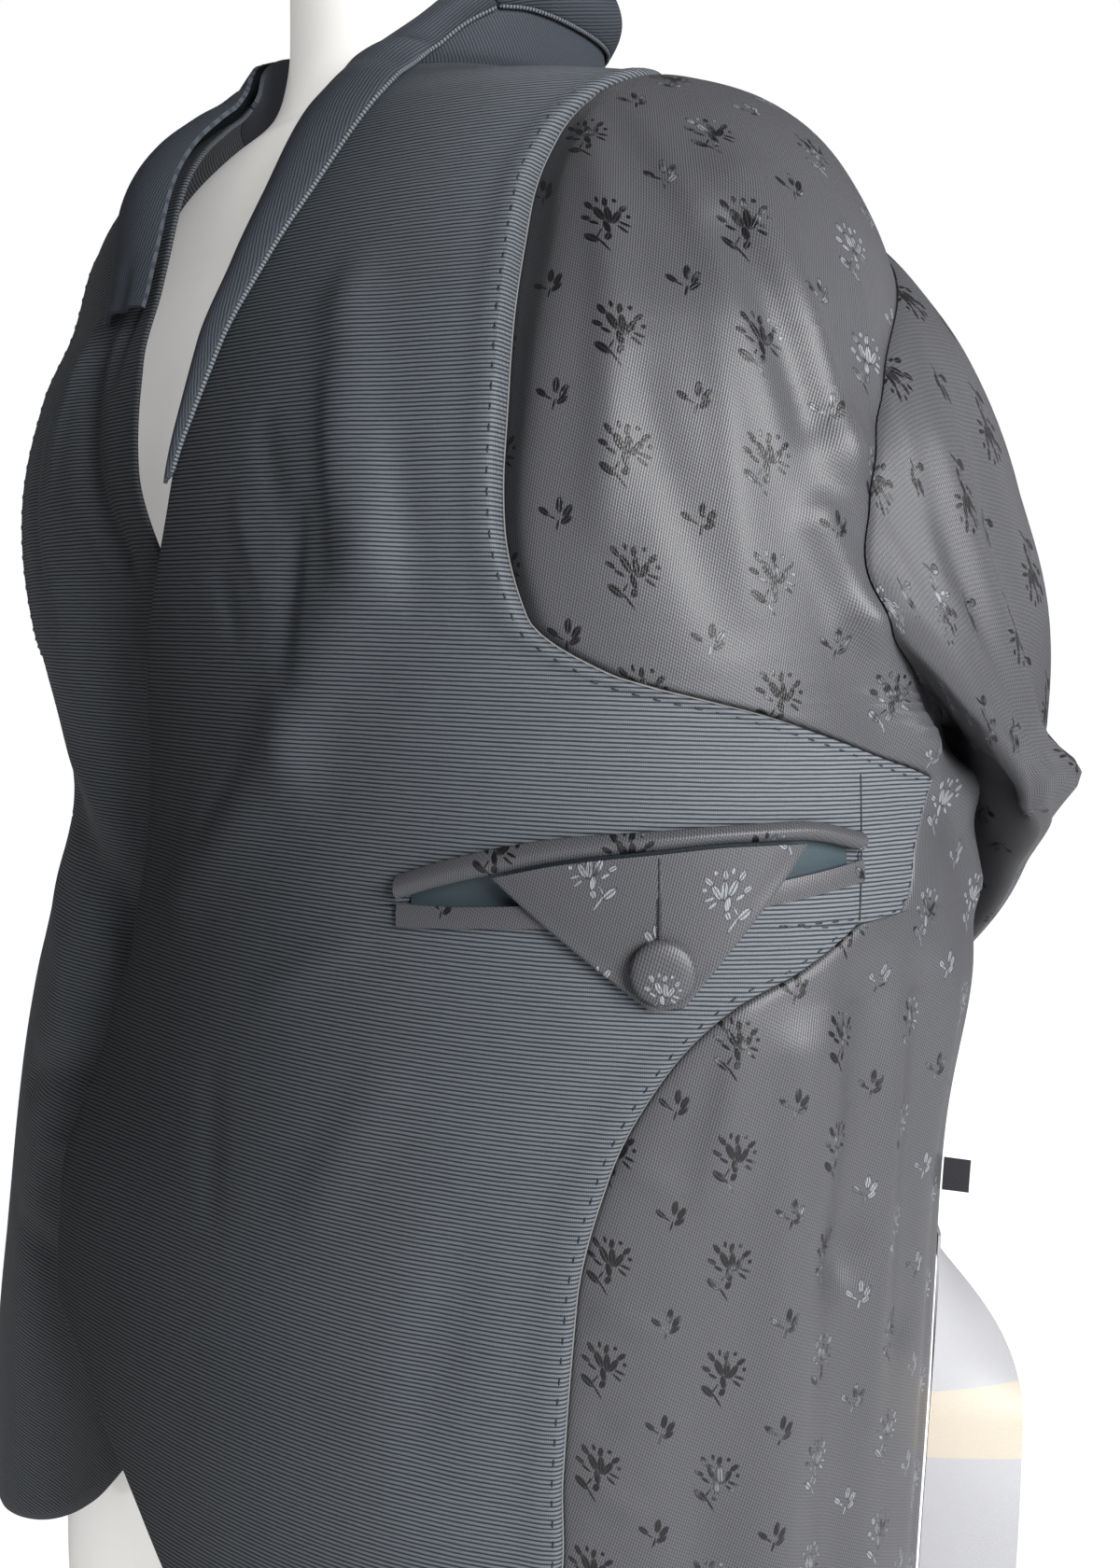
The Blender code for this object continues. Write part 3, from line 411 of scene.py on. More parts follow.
# ------------------------------------------------------------------ the body surface
@dataclass(frozen=True)
class Body:
    """The surface that every piece of cloth lies on."""

    hem_level: float = 0.060
    neck_level: float = 0.676
    nape_rise: float = 0.012
    nape_start: float = 0.600
    nape_span: float = 0.075
    cutaway_fade: float = 0.300
    lowest_angle: float = -150.0
    side_degree: float = 0.0037
    taper_power: float = 0.7
    row_angle: float = -30.0            # angle at which the rows' distances are measured
    fine_rows: int = 1200

    def point(self, angle: Array, level: Array, side: Side) -> Array:
        """A point of the bare surface: a rounded oval with swells, raised at hem and nape.

        Args:
            angle: own-side angle in degrees.
            level: height before the cutaway lifts the hem.
            side: the half of the jacket.

        Returns:
            Points with a last axis of x, y and z.
        """
        angle, level = np.broadcast_arrays(np.asarray(angle, float), np.asarray(level, float))
        half_width, half_depth, centre_x, centre_y, squareness = (
            column(BODY, level, index) for index in range(1, 6))
        polar = angle if side is Side.LEFT else 180 - angle
        turn = np.radians(polar)
        radius = oval_radius(turn, half_width, half_depth, squareness)
        for swell_angle, swell_level, spread, height, depth in SWELLS:
            away = (polar - swell_angle + 180) % 360 - 180
            radius = radius + depth * np.exp(-(away / spread) ** 2 - ((level - swell_level) / height) ** 2)
        lifted = column(CUTAWAY, -angle, 1) * (1 - smooth((level - self.hem_level) / self.cutaway_fade))
        return np.stack([centre_x + radius * np.cos(turn), centre_y + radius * np.sin(turn),
                         level + lifted + self.nape(turn, level)], -1)

    def nape(self, turn: Array, level: Array) -> Array:
        """Rise towards the nape: the squared sine of the polar angle, eased in with height."""
        reach = smooth((level - self.nape_start) / self.nape_span)
        return self.nape_rise * np.clip(np.sin(turn), 0, 1) ** 2 * reach

    def normal(self, angle: Array, level: Array, side: Side) -> Array:
        """Unit normal, pointing outwards: the cross product of a step along and a step up."""
        angle_step, level_step = 0.5, 0.0015
        along = self.point(angle + angle_step, level, side) - self.point(angle - angle_step, level, side)
        up = self.point(angle, level + level_step, side) - self.point(angle, level - level_step, side)
        normal = np.cross(along, up) * side.value
        return normal / np.linalg.norm(normal, axis=-1, keepdims=True)

    def degree(self, angle: Array, level: Array, side: Side) -> Array:
        """Length of one degree of the surface there."""
        half = 0.5
        return np.linalg.norm(self.point(angle + half, level, side)
                              - self.point(angle - half, level, side), axis=-1)

    def relief(self, angle: Array, level: Array, side: Side) -> Array:
        """Height of all folds: each is a bell across its line, wider on one side of it.

        Args:
            angle: own-side angle in degrees.
            level: height on the surface.
            side: the half of the jacket.

        Returns:
            Heights off the bare surface.
        """
        angle, level = np.broadcast_arrays(np.asarray(angle, float), np.asarray(level, float))
        height = np.zeros(angle.shape)
        for number, row in enumerate(np.concatenate([FOLDS, CREASES])):
            sign, angle_1, level_1, angle_2, level_2, before, after, rise = row
            own = angle if side.value == sign else 180 - angle
            own = (own - self.lowest_angle) % 360 + self.lowest_angle
            x, y = (own - angle_1) * self.side_degree, level - level_1
            run_x, run_y = (angle_2 - angle_1) * self.side_degree, level_2 - level_1
            share = np.clip((x * run_x + y * run_y) / (run_x ** 2 + run_y ** 2), 0, 1)
            width = np.where(x * run_y - y * run_x > 0, before, after)
            away = (x - share * run_x) ** 2 + (y - share * run_y) ** 2
            taper = 1.0 if number < len(FOLDS) else np.sin(np.pi * share) ** self.taper_power
            height = height + rise * taper * np.exp(-away / width ** 2)
        inside = (smooth((level - PLEAT_LEVELS[0]) / PLEAT_FADE)
                  * smooth((PLEAT_LEVELS[1] - level) / PLEAT_FADE))
        return height + PLEAT_HEIGHT * inside * np.exp(-((angle - 90) / PLEAT_SPREAD) ** 2)

    def tuck(self, angle: Array, level: Array, side: Side) -> Array:
        """How far the right front lies under the left one: an ease forwards and downwards."""
        forward = smooth((angle - TUCK_ANGLES[0]) / (TUCK_ANGLES[1] - TUCK_ANGLES[0]))
        low = 1 - smooth((level - TUCK_LEVELS[0]) / (TUCK_LEVELS[1] - TUCK_LEVELS[0]))
        return TUCK * forward * low * (side is Side.RIGHT)

    def skins(self, angle: Array, level: Array, lifts: tuple, side: Side) -> list[Array]:
        """Points at several lifts off the surface, with the folds.

        Args:
            angle: own-side angle in degrees.
            level: height on the surface.
            lifts: one lift, or array of lifts, for each skin.
            side: the half of the jacket.

        Returns:
            One array of points for each lift.
        """
        angle, level = np.broadcast_arrays(np.asarray(angle, float), np.asarray(level, float))
        base, normal = self.point(angle, level, side), self.normal(angle, level, side)
        rise = self.relief(angle, level, side) - self.tuck(angle, level, side)
        return [base + (rise + lift)[..., None] * normal for lift in lifts]

    def seam_edge(self, table: Array, index: int, level: Array, offset: float, side: Side) -> Array:
        """An edge's angle, moved off its seam by a distance square to the seam.

        Args:
            table: the seam's table of levels and angles.
            index: the column of angles.
            level: levels to read.
            offset: distance, above 0 towards greater angles.
            side: the half of the jacket.

        Returns:
            Angles of the edge.
        """
        step = 0.0004
        slope = (column(table, level + step, index) - column(table, level - step, index)) / (2 * step)
        angle = column(table, level, index)
        degree = self.degree(angle, level, side)
        return angle + offset * np.sqrt(1 + (slope * degree) ** 2) / degree

    def even_levels(self, low: float, high: float, step: float) -> Array:
        """Levels that lie an even length of cloth apart, with a row at each turn of the seams.

        Args:
            low: the first level.
            high: the last level.
            step: length between rows.

        Returns:
            Rising levels.
        """
        fine = np.linspace(low, high, self.fine_rows)
        path = self.point(np.full(fine.shape, self.row_angle), fine, Side.LEFT)
        run = run_along(path)
        even = np.interp(np.linspace(0, run[-1], int(run[-1] / step) + 1), run, fine)
        turns = np.concatenate([FACING_SEAM[:, 0], SIDE_EDGE[:, 0]])
        turns = turns[(turns > low) & (turns < high)]
        return np.unique(np.round(np.concatenate([even, turns]), 6))

    def cloth_height(self, points: Array) -> Array:
        """Height measured along the cloth: z up to the chart's top, then the surface's own length.

        Args:
            points: a grid of points, row by row upwards.

        Returns:
            One height for each point of the grid.
        """
        middle = points[:, points.shape[1] // 2]
        run = run_along(middle)
        start = np.searchsorted(middle[:, 2], CHARTED_LEVEL)
        start = min(start, len(middle) - 1)
        climb = middle[:, 2] - middle[start, 2]
        extra = np.where(np.arange(len(middle)) > start, run - run[start] - climb, 0)
        return points[..., 2] + extra[:, None]


BODY_SURFACE = Body()


# ------------------------------------------------------------------ meshes
def grid_quads(rows: int, columns: int, stride: int, closed: bool) -> Array:
    """Corner numbers of a grid's faces, row by row.

    Args:
        rows: rows of points.
        columns: columns of points.
        stride: points from one row to the next.
        closed: whether the last column joins the first.

    Returns:
        An array of four corners a face.
    """
    here = np.arange(rows - 1)[:, None] * stride
    place = np.arange(columns if closed else columns - 1)[None, :]
    after = (place + 1) % stride
    corners = np.broadcast_arrays(here + place, here + after, here + stride + after, here + stride + place)
    return np.stack(corners, -1).reshape(-1, 4)


def mesh_object(name: str, points: Array, faces: Array, charts: dict,
                sharp: float = 50.0) -> bpy.types.Object:
    """Make an object of four-cornered faces that point outwards.

    Args:
        name: the piece's name.
        points: points of shape (count, 3).
        faces: corner numbers of shape (count, 4).
        charts: UV maps by name, each of shape (faces, 4, 2).
        sharp: angle in degrees past which an edge is sharp.

    Returns:
        The new object at the origin.
    """
    corners = points[faces]
    crossed = np.cross(corners[:, 2] - corners[:, 0], corners[:, 3] - corners[:, 1])
    volume = (corners.mean(1) * crossed).sum()
    if volume < 0:
        faces = faces[:, ::-1]
        charts = {key: chart[:, ::-1] for key, chart in charts.items()}
    mesh = bpy.data.meshes.new(name)
    mesh.vertices.add(len(points))
    mesh.vertices.foreach_set("co", points.astype(np.float32).ravel())
    mesh.loops.add(faces.size)
    mesh.loops.foreach_set("vertex_index", faces.astype(np.int32).ravel())
    mesh.polygons.add(len(faces))
    mesh.polygons.foreach_set("loop_start", np.arange(0, faces.size, 4, dtype=np.int32))
    mesh.update(calc_edges=True)
    for key, chart in charts.items():
        layer = mesh.uv_layers.new(name=key)
        layer.data.foreach_set("uv", np.ascontiguousarray(chart, dtype=np.float32).ravel())
    mesh.shade_smooth()
    mesh.set_sharp_from_angle(angle=np.radians(sharp))
    piece = bpy.data.objects.new(name, mesh)
    bpy.context.scene.collection.objects.link(piece)
    return piece


def cloth_wall(name: str, outer: Array, inner: Array, charts: dict, closed: bool = False) -> bpy.types.Object:
    """A closed wall of cloth between two grids of points, or a tube where closed.

    Args:
        name: the piece's name.
        outer: outer grid of shape (rows, columns, 3).
        inner: inner grid of the same shape.
        charts: UV grids by name, of shape (rows, columns, 2), one column more on a tube.
        closed: whether the last column joins the first.

    Returns:
        The new object.
    """
    rows, columns = outer.shape[:2]
    count = rows * columns
    wide = columns + 1 if closed else columns
    skin = grid_quads(rows, columns, columns, closed)
    chart_skin = grid_quads(rows, wide, wide, False)

    def rim(line: Array) -> Array:
        """Faces across the wall along a line of points."""
        return np.stack([line[1:], line[:-1], line[:-1] + count, line[1:] + count], -1)

    def chart_rim(line: Array) -> Array:
        """The chart's corners of those faces."""
        return np.stack([line[1:], line[:-1], line[:-1], line[1:]], -1)

    def borders(stride: int, round_trip: bool) -> list[Array]:
        """The border lines of a grid, each run with the skin on its left."""
        bottom = np.arange(stride)
        top = (rows - 1) * stride + np.arange(stride)
        if round_trip:
            return [np.append(bottom, bottom[0]), np.append(top, top[0])[::-1]]
        if closed:
            return [bottom, top[::-1]]
        side = np.arange(rows) * stride
        return [bottom, side + stride - 1, top[::-1], side[::-1]]

    faces = np.concatenate([skin, skin[:, ::-1] + count] + [rim(line) for line in borders(columns, closed)])
    chart_faces = np.concatenate([chart_skin, chart_skin[:, ::-1]]
                                 + [chart_rim(line) for line in borders(wide, False)])
    points = np.concatenate([outer.reshape(-1, 3), inner.reshape(-1, 3)])
    filled = {key: chart.reshape(-1, 2)[chart_faces] for key, chart in charts.items()}
    return mesh_object(name, points, faces, filled)


def turned_mesh(name: str, rings: Array, charts: dict) -> bpy.types.Object:
    """Make an object of rings of points, each ring joined to the next and to itself.

    Args:
        name: the piece's name.
        rings: points of shape (rows, sides, 3).
        charts: UV grids by name, of shape (rows, sides + 1, 2).

    Returns:
        The new object.
    """
    rows, sides = rings.shape[:2]
    chart_faces = grid_quads(rows, sides + 1, sides + 1, False)
    return mesh_object(name, rings.reshape(-1, 3), grid_quads(rows, sides, sides, True),
                       {key: chart.reshape(-1, 2)[chart_faces] for key, chart in charts.items()})


def tube(name: str, path: Array, radius: Array, sides: int, sharp: float = 60.0) -> bpy.types.Object:
    """A round tube along a path, closed at both ends by its shrinking last rings.

    Args:
        name: the piece's name.
        path: points of shape (rows, 3).
        radius: one radius, or one for each row.
        sides: sides of the tube.
        sharp: angle past which an edge is sharp.

    Returns:
        The new object, with the chart "cloth" of lengths round and along it.
    """
    ahead = np.gradient(path, axis=0)
    ahead /= np.linalg.norm(ahead, axis=1, keepdims=True)
    aside = np.cross(ahead, ASKEW)
    aside /= np.linalg.norm(aside, axis=1, keepdims=True)
    above = np.cross(ahead, aside)
    turn = np.linspace(0, 2 * np.pi, sides, endpoint=False)
    size = np.broadcast_to(radius, (len(path),)).copy()
    size[[0, -1]] *= TUBE_END
    spokes = np.cos(turn)[None, :, None] * aside[:, None] + np.sin(turn)[None, :, None] * above[:, None]
    points = path[:, None] + size[:, None, None] * spokes
    run = run_along(path)
    around = np.linspace(0, 2 * np.pi * size.max(), sides + 1)
    chart = paired(around[None, :], run[:, None])
    faces = grid_quads(len(path), sides, sides, True)
    chart_faces = grid_quads(len(path), sides + 1, sides + 1, False)
    ends = [np.arange(sides), (len(path) - 1) * sides + np.arange(sides)[::-1]]
    caps = []
    for ring in ends:
        middle = ring.reshape(2, -1)
        caps.append(np.stack([middle[0, :-1], middle[1, ::-1][:-1], middle[1, ::-1][1:], middle[0, 1:]], -1))
    caps = np.concatenate(caps)
    flat = np.zeros((len(caps), 4, 2))
    charts = {"cloth": np.concatenate([chart.reshape(-1, 2)[chart_faces], flat])}
    return mesh_object(name, points.reshape(-1, 3), np.concatenate([faces, caps]), charts, sharp)


def joined(name: str, pieces: list) -> bpy.types.Object:
    """Join several small meshes into one object.

    Args:
        name: the joined piece's name.
        pieces: the objects, which are taken up.

    Returns:
        The joined object.
    """
    points, faces, charts, start = [], [], [], 0
    for piece in pieces:
        mesh = piece.data
        co = np.empty(len(mesh.vertices) * 3)
        mesh.vertices.foreach_get("co", co)
        corner = np.empty(len(mesh.loops), dtype=np.int32)
        mesh.loops.foreach_get("vertex_index", corner)
        uv = np.empty(len(mesh.loops) * 2)
        mesh.uv_layers[0].data.foreach_get("uv", uv)
        points.append(co.reshape(-1, 3))
        faces.append(corner.reshape(-1, 4) + start)
        charts.append(uv.reshape(-1, 4, 2))
        start += len(mesh.vertices)
        bpy.data.objects.remove(piece, do_unlink=True)
    return mesh_object(name, np.concatenate(points), np.concatenate(faces), {"cloth": np.concatenate(charts)})


# ------------------------------------------------------------------ shader helpers
class Graph:
    """A short hand for the nodes of one node tree."""

    def __init__(self, tree: bpy.types.NodeTree) -> None:
        """Keep the tree.

        Args:
            tree: a material's or a group's node tree.
        """
        self.tree = tree

    def node(self, kind: str, inputs: dict | None = None, **settings) -> bpy.types.Node:
        """Add a node, set its properties and fill its sockets with values or links.

        Args:
            kind: the node's type.
            inputs: values or output sockets by socket name or number.
            **settings: the node's own properties.

        Returns:
            The new node.
        """
        made = self.tree.nodes.new(kind)
        for key, value in settings.items():
            setattr(made, key, value)
        for key, value in (inputs or {}).items():
            if isinstance(value, bpy.types.NodeSocket):
                self.tree.links.new(value, made.inputs[key])
            else:
                made.inputs[key].default_value = value
        return made

    def math(self, operation: str, *values, clamp: bool = False) -> bpy.types.NodeSocket:
        """The result of one math node.

        Args:
            operation: the node's operation.
            *values: numbers or sockets, in order.
            clamp: whether the result is kept from 0 to 1.

        Returns:
            The output socket.
        """
        return self.node("ShaderNodeMath", dict(enumerate(values)), operation=operation,
                         use_clamp=clamp).outputs[0]

    def mix(self, factor, first, second) -> bpy.types.NodeSocket:
        """Mix two colours.

        Args:
            factor: share of the second colour.
            first: colour or socket.
            second: colour or socket.

        Returns:
            The colour socket.
        """
        def filled(value):
            """A colour with its alpha, or the socket as it is."""
            return value if isinstance(value, bpy.types.NodeSocket) else (*value, 1.0)
        return self.node("ShaderNodeMix", {0: factor, 6: filled(first), 7: filled(second)},
                         data_type="RGBA").outputs[2]

    def tinted(self, colour, value) -> bpy.types.NodeSocket:
        """A colour made lighter or darker by a value."""
        return self.node("ShaderNodeVectorMath", {0: colour, "Scale": value}, operation="SCALE").outputs[0]

    def ease(self, value, low: float, high: float) -> bpy.types.NodeSocket:
        """A smooth step from 0 at low to 1 at high."""
        return self.node("ShaderNodeMapRange", {"Value": value, "From Min": low, "From Max": high},
                         interpolation_type="SMOOTHSTEP").outputs[0]

    def noise(self, vector, scale: float, detail: float = 2.0) -> bpy.types.NodeSocket:
        """A noise texture's value."""
        settings = {"Vector": vector, "Scale": scale, "Detail": detail}
        return self.node("ShaderNodeTexNoise", settings).outputs[0]

    def group(self, tree: bpy.types.NodeTree, **inputs) -> bpy.types.Node:
        """Place a node group and fill its sockets.

        Args:
            tree: the group.
            **inputs: values or sockets by name.

        Returns:
            The group node.
        """
        return self.node("ShaderNodeGroup", inputs, node_tree=tree)

    def chart(self, name: str = "cloth") -> bpy.types.NodeSocket:
        """Coordinates of one of the piece's charts."""
        return self.node("ShaderNodeUVMap", uv_map=name).outputs[0]

    def place(self) -> bpy.types.NodeSocket:
        """The object's own coordinates, in metres."""
        return self.node("ShaderNodeTexCoord").outputs["Object"]

    def part(self, vector, index: int) -> bpy.types.NodeSocket:
        """One coordinate of a vector."""
        return self.node("ShaderNodeSeparateXYZ", {0: vector}).outputs[index]

    def rest(self, value) -> bpy.types.NodeSocket:
        """What is left of 1 after a value."""
        return self.math("SUBTRACT", 1.0, value)

    def link(self, value: bpy.types.NodeSocket, socket: bpy.types.NodeSocket) -> None:
        """Join an output socket to an input socket."""
        self.tree.links.new(value, socket)


class Effects:
    """The shared effects, each a node group that is built once."""

    # Motifs in millimetres: centre x and y, turn in degrees, length, width, slit
    SPRAY = (
        (-4.7, 7.2, 125, 3.8, 1.8, 1), (-6.2, 3.2, 150, 3.4, 1.6, 1), (-1.9, 8.6, 100, 2.2, 1.1, 0),
        (0.4, 7.4, 82, 3.2, 1.7, 1), (3.3, 8.0, 0, 1.4, 1.4, 0), (5.4, 5.4, 42, 3.3, 1.7, 1),
        (6.6, 2.9, 0, 1.4, 1.4, 0), (-1.9, 3.6, 118, 5.8, 2.4, 1), (0.8, 2.9, 94, 6.0, 2.3, 1),
        (3.0, 2.2, 58, 5.2, 2.1, 1), (-0.2, -1.2, 102, 4.6, 2.0, 0), (5.2, 0.2, 160, 3.6, 1.0, 0),
        (4.3, -1.6, 142, 3.6, 1.0, 0), (-3.9, 0.9, 148, 3.4, 1.1, 0), (-0.3, -4.6, 62, 2.8, 2.0, 1),
        (-5.3, -4.2, 140, 5.4, 2.4, 1), (-2.7, -3.2, 58, 3.2, 0.6, 0), (-1.9, -7.2, 124, 6.0, 0.7, 0))
    SPRIG = (
        (-3.9, 0.8, 142, 3.8, 1.9, 1), (0.7, 2.8, 84, 4.6, 2.1, 1), (2.9, 1.0, 58, 4.4, 2.1, 1),
        (2.3, -1.6, 34, 3.8, 1.9, 1), (-0.2, -3.0, 74, 3.4, 0.7, 0), (-1.8, -0.8, 150, 2.4, 0.6, 0))

    def __init__(self) -> None:
        """Build every group."""
        self.threads = self._threads()
        self.tone = self._tone()
        self.petal = self._petal()
        self.spray = self._chart("flower_spray", self.SPRAY)
        self.sprig = self._chart("leaf_sprig", self.SPRIG)

    def woven(self, graph: Graph, chart, turn: float, pitch: float, wander: float) -> bpy.types.NodeSocket:
        """Heights of parallel threads on a chart, turned by an angle and a pitch apart."""
        return graph.group(self.threads, Vector=chart, Turn=turn, Pitch=pitch, Wander=wander).outputs[0]

    def uneven(self, graph: Graph, place, scale: float, amount: float) -> bpy.types.NodeSocket:
        """An uneven tone round 1."""
        return graph.group(self.tone, Vector=place, Scale=scale, Amount=amount).outputs[0]

    @staticmethod
    def _new(name: str, inputs: dict, outputs: tuple) -> tuple:
        """Make an empty group.

        Args:
            name: the group's name.
            inputs: default values by socket name, a tuple for a vector.
            outputs: names of its value outputs.

        Returns:
            The tree, its graph, its input node and its output node.
        """
        tree = bpy.data.node_groups.new(name, "ShaderNodeTree")
        for key, value in inputs.items():
            vector = isinstance(value, tuple)
            socket = tree.interface.new_socket(
                name=key, in_out="INPUT", socket_type="NodeSocketVector" if vector else "NodeSocketFloat")
            if not vector:
                socket.default_value = value
        for key in outputs:
            tree.interface.new_socket(name=key, in_out="OUTPUT", socket_type="NodeSocketFloat")
        graph = Graph(tree)
        return tree, graph, graph.node("NodeGroupInput"), graph.node("NodeGroupOutput")

    def _threads(self) -> bpy.types.NodeTree:
        """Parallel threads: half of one plus the sine of the way across them, which wanders a little."""
        tree, graph, given, out = self._new(
            "threads", {"Vector": (0, 0, 0), "Turn": 0.0, "Pitch": 0.001, "Wander": 0.1}, ("Height",))
        parts = graph.node("ShaderNodeSeparateXYZ", {0: given.outputs["Vector"]})
        cosine = graph.math("COSINE", given.outputs["Turn"])
        sine = graph.math("SINE", given.outputs["Turn"])
        across = graph.math("ADD", graph.math("MULTIPLY", parts.outputs[0], cosine),
                            graph.math("MULTIPLY", parts.outputs[1], sine))
        stretched = graph.node("ShaderNodeVectorMath", {0: given.outputs["Vector"], 1: (90.0, 420.0, 90.0)},
                               operation="MULTIPLY").outputs[0]
        wander = graph.math("MULTIPLY", graph.math("SUBTRACT", graph.noise(stretched, 1.0, 3.0), 0.5),
                            given.outputs["Wander"])
        turns = graph.math("ADD", graph.math("DIVIDE", across, given.outputs["Pitch"]), wander)
        wave = graph.math("SINE", graph.math("MULTIPLY", turns, 2 * np.pi))
        graph.link(graph.math("MULTIPLY_ADD", wave, 0.5, 0.5), out.inputs["Height"])
        return tree

    def _tone(self) -> bpy.types.NodeTree:
        """Uneven tone: 1 with a broad noise and a fine one added, times the amount."""
        tree, graph, given, out = self._new(
            "cloth_tone", {"Vector": (0, 0, 0), "Scale": 20.0, "Amount": 0.1}, ("Value",))
        broad = graph.noise(given.outputs["Vector"], given.outputs["Scale"], 3.0)
        fine = graph.noise(given.outputs["Vector"], 900.0, 1.0)
        summed = graph.math("ADD", graph.math("MULTIPLY", graph.math("SUBTRACT", broad, 0.5), 2.0),
                            graph.math("SUBTRACT", fine, 0.5))
        graph.link(graph.math("MULTIPLY_ADD", summed, given.outputs["Amount"], 1.0), out.inputs["Value"])
        return tree

    def _petal(self) -> bpy.types.NodeTree:
        """One petal: 1 inside an ellipse that is turned and placed, with a slit down its middle."""
        tree, graph, given, out = self._new(
            "petal", {"Vector": (0, 0, 0), "Turn": (0, 0, 0), "Place": (0, 0, 0), "Size": (1, 1, 1),
                      "Slit": 0.0}, ("Mask", "Rim"))
        moved = graph.node("ShaderNodeMapping", {
            "Vector": given.outputs["Vector"], "Location": given.outputs["Place"],
            "Rotation": given.outputs["Turn"], "Scale": given.outputs["Size"]},
            vector_type="TEXTURE").outputs[0]
        reach = graph.node("ShaderNodeVectorMath", {0: moved}, operation="LENGTH").outputs["Value"]
        inside = graph.rest(graph.ease(reach, 0.74, 0.98))
        graph.link(graph.rest(graph.ease(reach, 0.92, 1.14)), out.inputs["Rim"])
        across = graph.math("ABSOLUTE", graph.part(moved, 1))
        slit = graph.math("MULTIPLY", graph.rest(graph.ease(across, 0.04, 0.20)), given.outputs["Slit"])
        graph.link(graph.math("MULTIPLY", inside, graph.rest(slit)), out.inputs["Mask"])
        return tree

    def _chart(self, name: str, rows: list | tuple) -> bpy.types.NodeTree:
        """A motif: the greatest mask of all its petals, read in millimetres.

        Args:
            name: the group's name.
            rows: centre x and y, turn in degrees, length, width and slit of each petal.

        Returns:
            The group.
        """
        tree, graph, given, out = self._new(name, {"Vector": (0, 0, 0)}, ("Mask", "Rim"))
        found = {}
        for x, y, turn, length, width, slit in rows:
            petal = graph.group(self.petal, Vector=given.outputs["Vector"], Place=(x, y, 0.0),
                                Turn=(0.0, 0.0, np.radians(turn)), Size=(length / 2, width / 2, 1.0),
                                Slit=float(slit))
            for key in ("Mask", "Rim"):
                value = petal.outputs[key]
                found[key] = graph.math("MAXIMUM", found[key], value) if key in found else value
        for key, value in found.items():
            graph.link(value, out.inputs[key])
        return tree


class Look(Enum):
    """The finishes, each with the record's slot that it stands for."""

    RIBBED = "ribbed_facing"
    FLORAL = "floral_lining"
    WOOL = "outer_cloth"
    POCKETING = "pocketing"
    DARK_TAPE = "dark_tape"
    WHITE_TAPE = "white_tape"
    GLOSS = "form_shell"

    @property
    def slot(self) -> str:
        """The record's material slot."""
        return self.value


@dataclass(frozen=True)
class Finish:
    """What all finishes share: a name and the shader's plain settings."""

    name: str
    roughness: float = 0.5
    specular: float = 0.4
    sheen: float = 0.0
    sheen_roughness: float = 0.4
    coat: float = 0.0
    coat_roughness: float = 0.1
    relief: tuple = (0.00012, 0.6)      # how deep a height of 1 is, in metres, and the bump's strength

    def start(self) -> tuple:
        """Make the material with its shader's constant sockets set.

        Returns:
            The material, its graph and its Principled shader.
        """
        material = bpy.data.materials.new(self.name)
        material.use_nodes = True
        shader = material.node_tree.nodes["Principled BSDF"]
        for key, value in (("Roughness", self.roughness), ("Specular IOR Level", self.specular),
                           ("Sheen Weight", self.sheen), ("Sheen Roughness", self.sheen_roughness),
                           ("Coat Weight", self.coat), ("Coat Roughness", self.coat_roughness)):
            shader.inputs[key].default_value = value
        return material, Graph(material.node_tree), shader

    def bump(self, graph: Graph, shader: bpy.types.Node, height) -> None:
        """Feed a height to the shader's normal.

        Args:
            graph: the material's graph.
            shader: its shader.
            height: the height socket.
        """
        distance, strength = self.relief
        bump = graph.node("ShaderNodeBump", {"Height": height, "Distance": distance, "Strength": strength})
        graph.link(bump.outputs[0], shader.inputs["Normal"])


@dataclass(frozen=True)
class RibbedCloth(Finish):
    """Cloth with fine crosswise ribs: light tops with broken threads, dark grooves, and a painted light
    falloff across the cloth.
    """

    groove: tuple = (.017, .019, .023)
    top: tuple = (.099, .108, .120)
    pitch: float = 0.00137
    turn: float = np.pi / 2
    wander: float = 0.32
    painted_falloff: tuple = (0.36, 1.74)          # painted light falloff: tone at the front edge and at the side, fitted to the photograph
    painted_falloff_from: float = -0.42
    painted_falloff_to: float = 0.0
    relief: tuple = (0.00028, 0.7)

    def make(self, effects: Effects) -> bpy.types.Material:
        """Build the material.

        Args:
            effects: the shared groups.

        Returns:
            The material.
        """
        material, graph, shader = self.start()
        chart = graph.chart()
        rib = effects.woven(graph, chart, self.turn, self.pitch, self.wander)
        thread = effects.woven(graph, chart, self.turn - np.pi / 2, 0.00055, 1.2)
        place = graph.place()
        tone = effects.uneven(graph, place, 16.0, 0.13)
        height = graph.math("MULTIPLY", graph.ease(rib, 0.06, 0.62),
                            graph.math("MULTIPLY_ADD", thread, 0.30, 0.70))
        # painted light falloff: darker towards the front edge, lighter towards the side
        across = graph.part(chart, 0)
        painted_falloff_tone = graph.math("MULTIPLY_ADD", graph.ease(across, self.painted_falloff_from, self.painted_falloff_to),
                           self.painted_falloff[1] - self.painted_falloff[0], self.painted_falloff[0])
        colour = graph.tinted(graph.tinted(graph.mix(height, self.groove, self.top), tone), painted_falloff_tone)
        graph.link(colour, shader.inputs["Base Color"])
        rough = graph.math("MULTIPLY_ADD", height, -0.16, self.roughness + 0.10)
        graph.link(rough, shader.inputs["Roughness"])
        self.bump(graph, shader, height)
        return material


